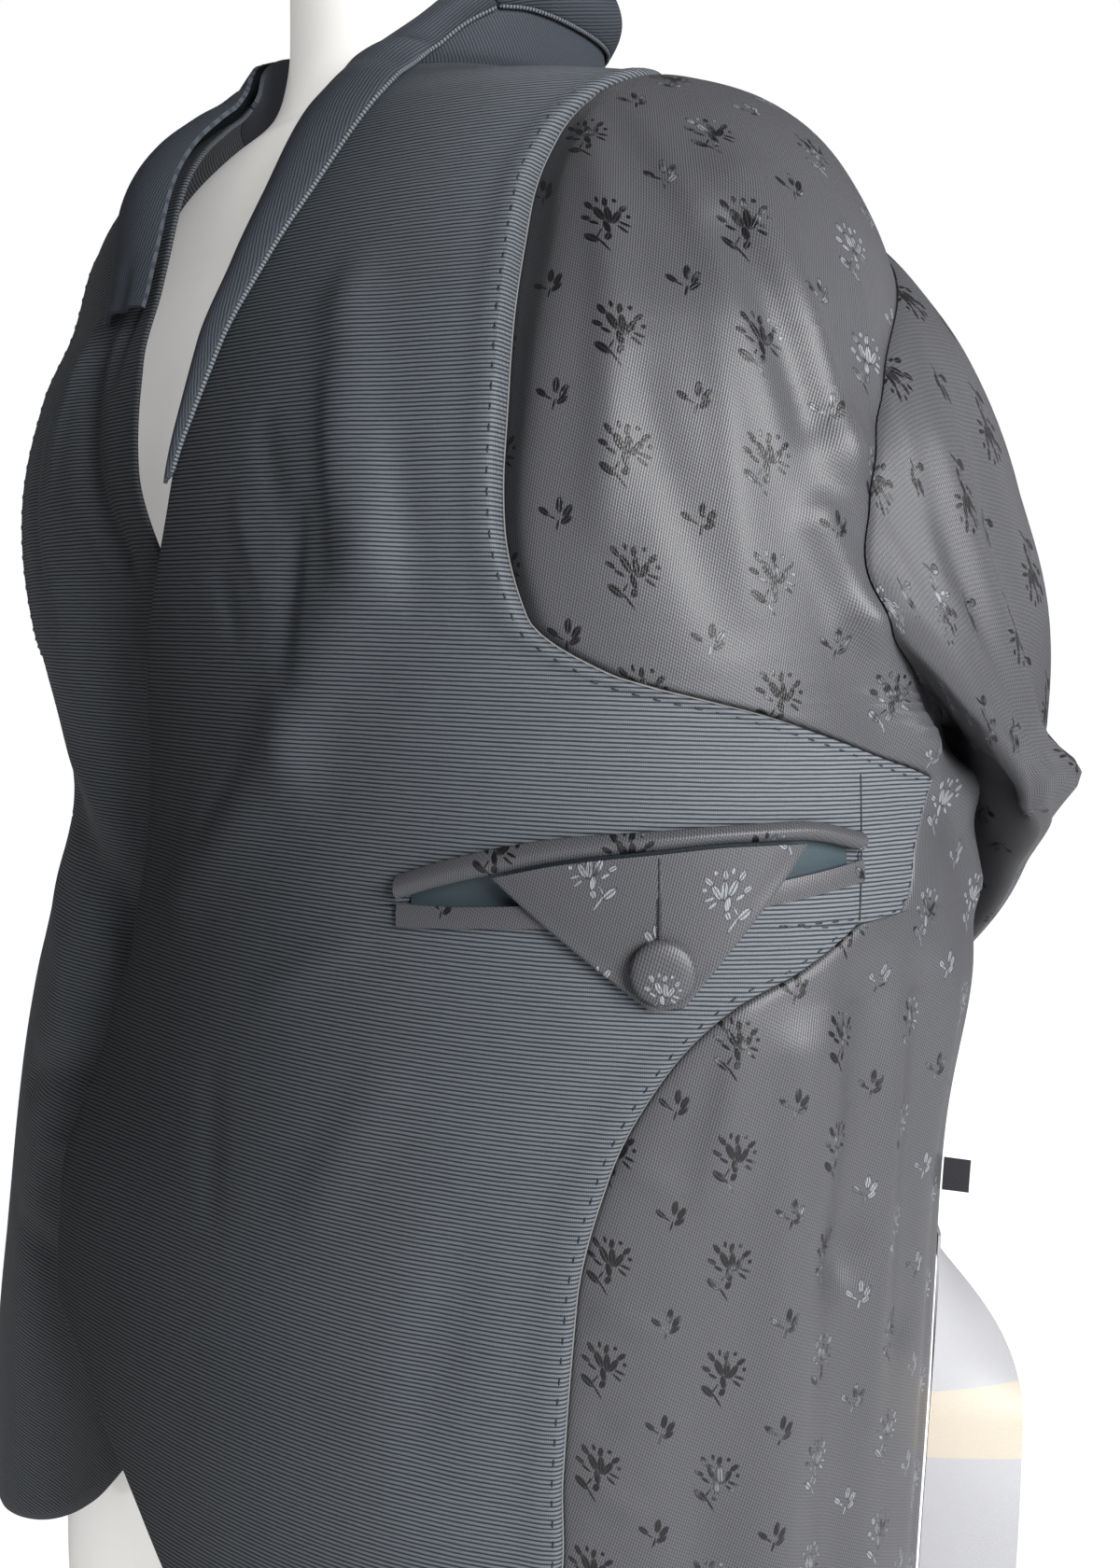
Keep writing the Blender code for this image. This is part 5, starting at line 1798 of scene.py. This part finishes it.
@dataclass
class BreastPocket:
    """The inner breast pocket: two welts, the bag in its mouth, the flap and its button."""

    wardrobe: Wardrobe
    columns: int = 130
    welt_low: float = 0.0010
    bag_wall: float = 0.0008
    flap_wall: float = 0.0012
    welt_roll: float = 0.0034
    welt_arc: tuple = (0.12, 0.76)
    flap_top_angles: tuple = (-38.4, -12.2)
    flap_tip: tuple = ((-25.1, .3652), (-22.5, .3664))
    button_place: tuple = (-24.2, .3775)
    button_sides: int = 96
    button_weave: float = 0.85          # the button is covered in a coarser weave
    button_cell: tuple = (0.0300, 0.0270, 0.0068)   # its repeat's width, height and shift downwards
    slit: tuple = (-24.5, .4120, .3868)     # angle, highest and lowest level
    bag_sink: float = 0.0038
    bag_reach: float = 0.0035
    flap_round: tuple = (0.0014, 0.3)       # radius of the flap's edge and its least share of the wall
    flap_drop: float = 0.048                # length from the welt to the tip
    puff: tuple = (0.0006, 0.010)           # height of the flap's swell, and how far in it is full
    curl: tuple = (0.0007, 0.004)           # lift of the flap's edge, and its reach
    motif_size: tuple = (0.0385, 0.036)     # cells of the flap's repeat
    motif_level: float = 0.4045
    right_shift: float = 0.15               # cells that the flap's right half is moved up
    slit_radius: float = 0.00036
    stitch: tuple = (0.00085, 0.00024)      # half length and radius of a buttonhole stitch
    stitch_run: tuple = (0.0125, 0.00075)   # length that is stitched, and the pitch
    button_gap: float = 3 * SEAM_GAP
    pucker: tuple = (0.006, 22)             # share of the button's radius, and puckers round it
    repeat_shift: tuple = (0.0040, 0.0135)  # of the welts' flowers, across and up

    @property
    def flap_lift(self) -> float:
        """Lift of the flap's back, over the lower welt."""
        return ON_CLOTH + self.welt_low + SEAM_GAP

    def strip(self, name: str, node: str, look: Look, low: Array, high: Array, lifts: tuple,
              angles: Array, rows: int) -> bpy.types.Object:
        """A strip across the pocket between two lines.

        Args:
            name: the piece's name.
            node: the node that it stands for.
            look: its finish.
            low: levels of its lower line.
            high: levels of its upper line.
            lifts: functions of the share up the strip that give the outer and inner lift.
            angles: angles of its columns.
            rows: rows of points.

        Returns:
            The finished piece.
        """
        share = np.linspace(0, 1, rows)[:, None]
        levels = low + share * (high - low)
        wide = np.broadcast_to(angles, levels.shape)
        outer, inner = BODY_SURFACE.skins(wide, levels, tuple(lift(share) for lift in lifts), Side.LEFT)
        across = wide * BODY_SURFACE.side_degree
        charts = {"cloth": paired(across, levels),
                  "repeat": Repeat.cells(across + self.repeat_shift[0], levels + self.repeat_shift[1])}
        piece = cloth_wall(name, outer, inner, charts)
        return SewnPiece(name, node, look, self.wardrobe, held="stretched",
                         rests_on=("facing_left",)).settle(piece, outer)

    def build(self) -> None:
        """Build every piece of the pocket."""
        angles = np.linspace(POCKET[0, 0], POCKET[-1, 0], self.columns)[None, :]
        upper, mouth_top, mouth_low, lower = (column(POCKET, angles, index) for index in range(1, 5))
        half_gap = SEAM_GAP / 2
        start, turn = self.welt_arc

        def roll(share: Array) -> Array:
            """The upper welt's rounded top."""
            return ON_CLOTH + self.welt_roll * np.sin(np.pi * (start + turn * share))

        def low_roll(share: Array) -> Array:
            """The lower welt, rounded at both edges."""
            return ON_CLOTH + 0.0003 + self.welt_low * np.sin(np.pi * (0.15 + 0.7 * share)) ** 0.5

        def flat(lift: float):
            """The same lift all the way up."""
            return lambda share: lift + 0 * share

        self.strip("welt_upper", "pocket_welt_upper", Look.FLORAL, mouth_top + half_gap, upper,
                   (roll, flat(ON_CLOTH)), angles, 16)
        self.strip("welt_lower", "pocket_welt_lower", Look.FLORAL, lower, mouth_low - half_gap,
                   (low_roll, flat(ON_CLOTH)), angles, 14)
        inside = np.linspace(POCKET[0, 0] + 0.9, POCKET[-1, 0] - 0.9, self.columns)[None, :]
        low, high = column(POCKET, inside, 3), column(POCKET, inside, 2)
        bag = ON_CLOTH - self.bag_sink
        self.strip("pocketing_mouth", "pocket_bag", Look.POCKETING, low - self.bag_reach,
                   high + self.bag_reach, (flat(bag + self.bag_wall), flat(bag)), inside, 10)
        self.build_flap()
        self.build_button()

    def build_flap(self) -> None:
        """The triangular flap: rows that narrow from the welt to the tip, thin at its edges."""
        across = np.concatenate([[0, .004, .012, .025], np.linspace(.04, .96, 62), [.975, .988, .996, 1]])
        down = np.concatenate([np.linspace(0, .95, 64), [.965, .98, .99, .996, 1]])[:, None]
        (tip_left, level_left), (tip_right, level_right) = self.flap_tip
        top_angle = self.flap_top_angles[0] + across * np.diff(self.flap_top_angles)
        top_level = column(POCKET, top_angle, 2) - 2 * SEAM_GAP
        tip_angle = tip_left + across * (tip_right - tip_left)
        tip_level = level_left + across * (level_right - level_left)
        angles = top_angle + down * (tip_angle - top_angle)
        levels = top_level + down * (tip_level - top_level)
        width = (angles[:, -1:] - angles[:, :1]) * BODY_SURFACE.side_degree
        edge = np.minimum(across, 1 - across) * width
        share = rounded(edge, *self.flap_round) * rounded((1 - down) * self.flap_drop, *self.flap_round)
        puff = self.puff[0] * np.sin(np.pi * np.clip(edge / self.puff[1], 0, 1) * 0.5) ** 2
        curl = self.curl[0] * np.exp(-(edge / self.curl[1]) ** 2) * smooth(down / 0.4)
        lift = self.flap_lift + curl
        lifts = (lift + puff + self.flap_wall * share, lift)
        outer, inner = BODY_SURFACE.skins(angles, levels, lifts, Side.LEFT)
        side = angles * BODY_SURFACE.side_degree
        fold = np.abs(side - self.slit[0] * BODY_SURFACE.side_degree)
        turned = np.where(angles < self.slit[0], 1.0, -1.0)
        wide, high = self.motif_size
        cell = paired(fold * turned / wide + 0.5 * turned, (levels - self.motif_level) / high)
        cell[..., 1] += self.right_shift * (turned < 0)
        # the cloth chart is moved by 0.15 so that the painted sheen turns the flap's petals light
        charts = {"cloth": paired(side + 0.15, levels), "repeat": cell}
        piece = cloth_wall("triangle_flap", outer, inner, charts)
        owner = SewnPiece("triangle_flap", "pocket_flap", Look.FLORAL, self.wardrobe, held="hung",
                          rests_on=("facing_left",))
        trims = tuple(owner.trim(part, Look.DARK_TAPE) for part in self.build_slit())
        owner.settle(piece, outer, extra=trims)

    def build_slit(self) -> list:
        """The buttonhole slit: a dark cord down its middle, and whipped stitches round its lower end.

        Returns:
            The slit's pieces.
        """
        angle, high, low = self.slit
        lift = self.flap_lift + self.flap_wall + self.puff[0]
        levels = np.linspace(high, low, 40)
        middle = BODY_SURFACE.skins(np.full(levels.shape, angle), levels, (lift - 0.0001,), Side.LEFT)[0]
        cord = tube("flap_slit", middle, self.slit_radius, 8)
        stitches = []
        half, radius = self.stitch
        reach, pitch = self.stitch_run
        for level in np.arange(low, low + reach, pitch):
            arc = np.linspace(-1, 1, 7)
            angles = angle + arc * half / BODY_SURFACE.side_degree
            rise = lift + 0.00030 * np.cos(arc * np.pi / 2)
            path = BODY_SURFACE.skins(angles, np.full(arc.shape, level) + 0.0002 * arc, (rise,), Side.LEFT)[0]
            stitches.append(tube(f"stitch_{len(stitches)}", path, radius, 6))
        return [cord, joined("flap_buttonhole", stitches)]

    def build_button(self) -> None:
        """The domed covered button: its profile turned about its axis, puckered a little at the rim."""
        angle, level = self.button_place
        back = self.flap_lift + self.flap_wall + self.button_gap
        centre = BODY_SURFACE.skins(np.array(angle), np.array(level), (back,), Side.LEFT)[0]
        out = BODY_SURFACE.normal(np.array(angle), np.array(level), Side.LEFT)
        right = np.cross((0.0, 0.0, 1.0), out)
        right /= np.linalg.norm(right)
        up = np.cross(out, right)
        profile = refine(BUTTON, 60)
        turn = np.linspace(0, 2 * np.pi, self.button_sides, endpoint=False)
        depth, count = self.pucker
        rim = np.exp(-((profile[:, 1:] - .0010) / .0009) ** 2)
        pucker = 1 + depth * np.sin(turn * count)[None, :] * rim
        x = profile[:, :1] * np.cos(turn) * pucker
        y = profile[:, :1] * np.sin(turn) * pucker
        points = centre + x[..., None] * right + y[..., None] * up + profile[:, 1, None, None] * out
        # the cloth chart is moved by 0.2 so that the painted sheen turns the button's petals light
        cloth = paired(x * self.button_weave + 0.2, y * self.button_weave)
        cell_width, cell_height, shift = self.button_cell
        cell = paired(x / cell_width, (y + shift) / cell_height)
        charts = {key: np.concatenate([chart, chart[:, :1]], 1)
                  for key, chart in {"cloth": cloth, "repeat": cell}.items()}
        dress(turned_mesh("covered_button", points, charts), Look.FLORAL, self.wardrobe, "pocket_button")


@dataclass
class SideLabels:
    """The blank tab and the long blank label, which stand on the left lining before its side seam."""

    wardrobe: Wardrobe
    tab: tuple = (15.5, .281, .293, .0095, .0010)
    root: float = 0.0022
    care_angle: float = 16.5
    care_top: float = 0.262
    care_length: float = 0.130
    care_width: float = 0.036
    care_turn: float = 78.0
    care_wall: float = 0.0010
    turn_share: float = 0.55
    sway: float = 0.0035
    waves: float = 1.6

    def build(self) -> None:
        """Build both labels as walls that stand out of the lining."""
        angle, low, high, reach, thickness = self.tab
        levels = np.linspace(low, high, 14)[:, None]
        lifts = np.linspace(self.root, self.root + reach, 12)[None, :]
        half = thickness / 2 / BODY_SURFACE.side_degree
        wide = levels + 0 * lifts
        skins = [BODY_SURFACE.skins(angle + sign * half + 0 * wide, wide, (lifts,), Side.LEFT)[0]
                 for sign in (1, -1)]
        cloth = paired(lifts, levels)
        tab = SewnPiece("blank_tab", "tab_label", Look.DARK_TAPE, self.wardrobe, held="stretched",
                        rests_on=("front_lining_left",))
        tab.settle(cloth_wall(tab.name, skins[0], skins[1], {"cloth": cloth}), skins[0])

        down = np.linspace(0, 1, 60)[:, None]
        out = np.linspace(0, 1, 24)[None, :]
        turn = np.radians(self.care_turn) * smooth(down / self.turn_share)
        levels = self.care_top - self.care_length * down + 0 * out
        sway = self.sway * np.sin(np.pi * self.waves * down) * out
        skins = []
        for half in (self.care_wall / 2, -self.care_wall / 2):
            along = out * self.care_width * np.cos(turn) - half * np.sin(turn)
            rise = out * self.care_width * np.sin(turn) + half * np.cos(turn)
            lift = self.root + self.care_wall / 2 + rise
            angles = self.care_angle + (along + sway) / BODY_SURFACE.side_degree
            skins.append(BODY_SURFACE.skins(angles, levels, (lift,), Side.LEFT)[0])
        cloth = paired(out * self.care_width, levels)
        care = SewnPiece("blank_label", "care_label", Look.WHITE_TAPE, self.wardrobe, held="hung",
                         rests_on=("front_lining_left",))
        care.settle(cloth_wall(care.name, skins[0], skins[1], {"cloth": cloth}), skins[0])


@dataclass
class DressForm:
    """The smooth limbless form, with a flat foot and a flat top to its neck."""

    wardrobe: Wardrobe
    sides: int = 160
    rows: int = 170
    cap_rows: int = 3
    inset: float = 0.0006

    def build(self) -> None:
        """Build the form: rounded ovals stacked by height, closed by a disc at the foot and the top."""
        cap_start = len(FORM) - self.cap_rows
        number = np.arange(len(FORM))
        place = np.concatenate([np.linspace(0, 1, 6)[:-1], np.linspace(1, len(FORM) - 1, self.rows)])
        height, half_width, half_depth, centre_y, squareness = (
            monotone(place, number, values)[:, None] for values in FORM.T)
        turn = np.linspace(0, 2 * np.pi, self.sides, endpoint=False)[None, :]
        radius = oval_radius(turn, half_width, half_depth, squareness) - self.inset
        nape = BODY_SURFACE.nape(turn, height)
        level_off = smooth((place - (cap_start - 1)))[:, None]
        rise = nape * (1 - level_off) + BODY_SURFACE.nape_rise / 2 * level_off
        rings = np.stack(np.broadcast_arrays(radius * np.cos(turn), centre_y + radius * np.sin(turn),
                                             height + rise), -1)
        middle_low = np.broadcast_to(rings[0].mean(0), rings[0].shape)
        middle_high = np.broadcast_to(rings[-1].mean(0), rings[0].shape)
        shares = (0.002, 0.35, 0.7, 0.95)
        foot = [middle_low + share * (rings[0] - middle_low) for share in shares]
        top = [middle_high + share * (rings[-1] - middle_high) for share in shares[::-1]]
        points = np.concatenate([np.array(foot), rings, np.array(top)])
        run = run_along(points[:, 0])
        chart = paired(np.linspace(0, 1.0, self.sides + 1)[None, :], run[:, None])
        dress(turned_mesh("smooth_form", points, {"cloth": chart}), Look.GLOSS, self.wardrobe, "dress_form")


@dataclass
class PickStitches:
    """Small hand stitches that hold the facing to the lining along its seam."""

    wardrobe: Wardrobe
    facing: Facing
    pitch: float = 0.0063
    length: float = 0.0026
    radius: float = 0.00026
    from_seam: float = 0.0030
    bulge: float = 0.00022
    levels: tuple = (0.075, 0.655)

    def build(self) -> None:
        """Build one row: short tubes that dip into the cloth at both ends."""
        side = self.facing.side
        levels = BODY_SURFACE.even_levels(*self.levels, 0.001)
        seam = BODY_SURFACE.seam_edge(FACING_SEAM, 1, levels, -self.from_seam, side)
        path = BODY_SURFACE.point(seam, levels, side)
        run = run_along(path)
        stitches = []
        for start in np.arange(0, run[-1] - self.pitch, self.pitch):
            place = start + np.linspace(0, self.length, 7)
            level = np.interp(place, run, levels)
            angle = np.interp(place, run, seam)
            bulge = self.bulge * (np.sin(np.linspace(0, np.pi, 7)) - 0.5)
            rise = WALL + self.facing.lift(angle, level) + bulge
            line = BODY_SURFACE.skins(angle, level, (rise,), side)[0]
            stitches.append(tube(f"pick_{len(stitches)}", line, self.radius, 6))
        dress(joined(f"pick_stitches_{side.word}", stitches), Look.DARK_TAPE, self.wardrobe)


@dataclass
class SeamLine:
    """A sunk seam drawn by its dark thread: a thin tube that follows rows of angle and level."""

    name: str
    wardrobe: Wardrobe
    side: Side
    rows: tuple
    radius: float = 0.00030
    lift: float = WALL + 0.0001

    def build(self) -> None:
        """Build the thread along the rows, at its lift off the body surface."""
        rows = refine(np.array(self.rows), 24 * len(self.rows))
        path = BODY_SURFACE.skins(rows[:, 0], rows[:, 1], (self.lift,), self.side)[0]
        dress(tube(self.name, path, self.radius, 6), Look.DARK_TAPE, self.wardrobe)


# ------------------------------------------------------------------ the studio
def stand(name: str, data: bpy.types.ID, axes: tuple, place: tuple) -> bpy.types.Object:
    """Set up a light or a camera.

    Args:
        name: the object's name.
        data: its light or camera.
        axes: its right, up and backward axes.
        place: where it stands.

    Returns:
        The new object.
    """
    made = bpy.data.objects.new(name, data)
    rows = [[*row, where] for row, where in zip(np.stack(axes, 1), place)]
    made.matrix_world = Matrix(rows + [[0, 0, 0, 1]])
    bpy.context.scene.collection.objects.link(made)
    return made


@dataclass(frozen=True)
class Studio:
    """The pale floor, the soft lights and the camera at the photograph's angle."""

    camera_place: tuple = (0.4489, -0.4161, 0.468)
    yaw: float = 42.1
    pitch: float = 4.8
    roll: float = 1.9
    lens: float = 33.21
    floor_size: float = 7.0
    floor_glow: float = 0.84            # the floor's own light, for the camera alone
    surround: float = 0.17              # strength of the surround, which the camera sees as full white
    # Softboxes: name, place, the point that it faces, side, watts
    softboxes: tuple = (("key_softbox", (1.75, -0.35, 0.95), (0.05, 0.0, 0.42), 0.9, 55.0),
                        ("back_softbox", (0.75, 1.6, 1.1), (0.05, 0.0, 0.40), 1.0, 2.0))

    def build(self) -> None:
        """Build the floor, the lights, the world and the camera."""
        self.build_floor()
        self.build_world()
        for softbox in self.softboxes:
            self.add_light(*softbox)
        self.build_camera()

    def build_floor(self) -> None:
        """A wide pale floor under the form's foot."""
        half = self.floor_size / 2
        mesh = bpy.data.meshes.new("studio_floor")
        corners = [(-half, -half, 0), (half, -half, 0), (half, half, 0), (-half, half, 0)]
        mesh.from_pydata(corners, [], [(0, 1, 2, 3)])
        floor = bpy.data.objects.new("studio_floor", mesh)
        bpy.context.scene.collection.objects.link(floor)
        material = bpy.data.materials.new("studio_white")
        material.use_nodes = True
        graph = Graph(material.node_tree)
        shader = material.node_tree.nodes["Principled BSDF"]
        place = graph.place()
        cloud = graph.noise(place, 3.0, 2.0)
        graph.link(graph.mix(cloud, (.94, .94, .94), (.97, .97, .97)), shader.inputs["Base Color"])
        shader.inputs["Roughness"].default_value = 0.9
        shader.inputs["Emission Color"].default_value = (1.0, 1.0, 1.0, 1.0)
        seen = graph.node("ShaderNodeLightPath").outputs["Is Camera Ray"]
        graph.link(graph.math("MULTIPLY", seen, self.floor_glow), shader.inputs["Emission Strength"])
        mesh.materials.append(material)

    def build_world(self) -> None:
        """A plain white surround."""
        world = bpy.data.worlds.new("studio_surround")
        world.use_nodes = True
        surround = world.node_tree.nodes["Background"]
        surround.inputs["Color"].default_value = (1.0, 1.0, 1.0, 1.0)
        graph = Graph(world.node_tree)
        seen = graph.node("ShaderNodeLightPath").outputs["Is Camera Ray"]
        strength = graph.math("MULTIPLY_ADD", seen, 1 - self.surround, self.surround)
        graph.link(strength, surround.inputs["Strength"])
        bpy.context.scene.world = world
        bpy.context.scene.view_settings.view_transform = "Standard"

    @staticmethod
    def add_light(name: str, place: tuple, target: tuple, size: float, power: float) -> None:
        """A square softbox that looks at a target.

        Args:
            name: the light's name.
            place: where it stands.
            target: the point that it faces.
            size: its side.
            power: its power in watts.
        """
        data = bpy.data.lights.new(name, "AREA")
        data.size, data.energy = size, power
        back = np.subtract(place, target)
        back = back / np.linalg.norm(back)
        right = np.cross((0, 0, 1), back)
        right /= np.linalg.norm(right)
        stand(name, data, (right, np.cross(back, right), back), place)

    def build_camera(self) -> None:
        """The camera, from its place, yaw, downward pitch and roll."""
        yaw, pitch, roll = np.radians([self.yaw, self.pitch, self.roll])
        ahead = np.array([-np.sin(yaw) * np.cos(pitch), np.cos(yaw) * np.cos(pitch), -np.sin(pitch)])
        level_right = np.array([np.cos(yaw), np.sin(yaw), 0.0])
        level_up = np.cross(level_right, ahead)
        right = level_right * np.cos(roll) + level_up * np.sin(roll)
        up = -level_right * np.sin(roll) + level_up * np.cos(roll)
        data = bpy.data.cameras.new("photo_view")
        data.lens, data.sensor_width, data.sensor_fit = self.lens, 36.0, "AUTO"
        data.clip_start = 0.01
        bpy.context.scene.camera = stand("photo_view", data, (right, up, -ahead), self.camera_place)


def main() -> None:
    """Build every piece of the dressed jacket and its form, then the studio."""
    logging.basicConfig(level=logging.INFO, format="%(message)s")
    wardrobe = Wardrobe()
    DressForm(wardrobe).build()
    for side in Side:
        word = side.word
        facing = Facing(f"ribbed_front_{word}", f"facing_{word}", Look.RIBBED, wardrobe, side=side)
        facing.build()
        PickStitches(wardrobe, facing).build()
        FrontLining(f"floral_front_{word}", f"front_lining_{word}", Look.FLORAL, wardrobe, side=side).build()
        HemBand(f"hem_turn_up_{word}", f"hem_band_{word}", Look.WOOL, wardrobe, side=side).build()
        Sleeve(side, wardrobe).build()
        SeamLine(f"tab_seam_{word}", wardrobe, side, TAB_SEAM).build()
    BackLining("floral_back", "back_lining", Look.FLORAL, wardrobe).build()
    HemBand("hem_turn_up_back", "hem_band_back", Look.WOOL, wardrobe, back=True).build()
    CollarStand("neck_band", "collar_stand", Look.WOOL, wardrobe).build()
    neck_seam = tuple((angle, BODY_SURFACE.neck_level + SEAM_GAP / 2) for angle in NECK_SEAM_ANGLES)
    SeamLine("neck_seam", wardrobe, Side.LEFT, neck_seam, radius=SEAM_FILL, lift=WALL / 2).build()
    for side in Side:
        SeamLine(f"shoulder_seam_{side.word}", wardrobe, side, SHOULDER_SEAM,
                 radius=SEAM_FILL, lift=WALL / 2).build()
    Roll("rolled_lapel_left", "lapel_roll_left", Look.WOOL, wardrobe, rests_on=("facing_left",),
         table=ROLL_LEFT).build()
    Roll("rolled_lapel_right", "lapel_roll_right", Look.WOOL, wardrobe, rests_on=("facing_right",),
         table=ROLL_RIGHT, side=Side.RIGHT).build()
    Roll("rolled_collar", "collar_fall", Look.WOOL, wardrobe, rests_on=("collar_stand",),
         table=COLLAR_FALL).build()
    BreastPocket(wardrobe).build()
    SideLabels(wardrobe).build()
    Studio().build()


if __name__ == "__main__":
    main()
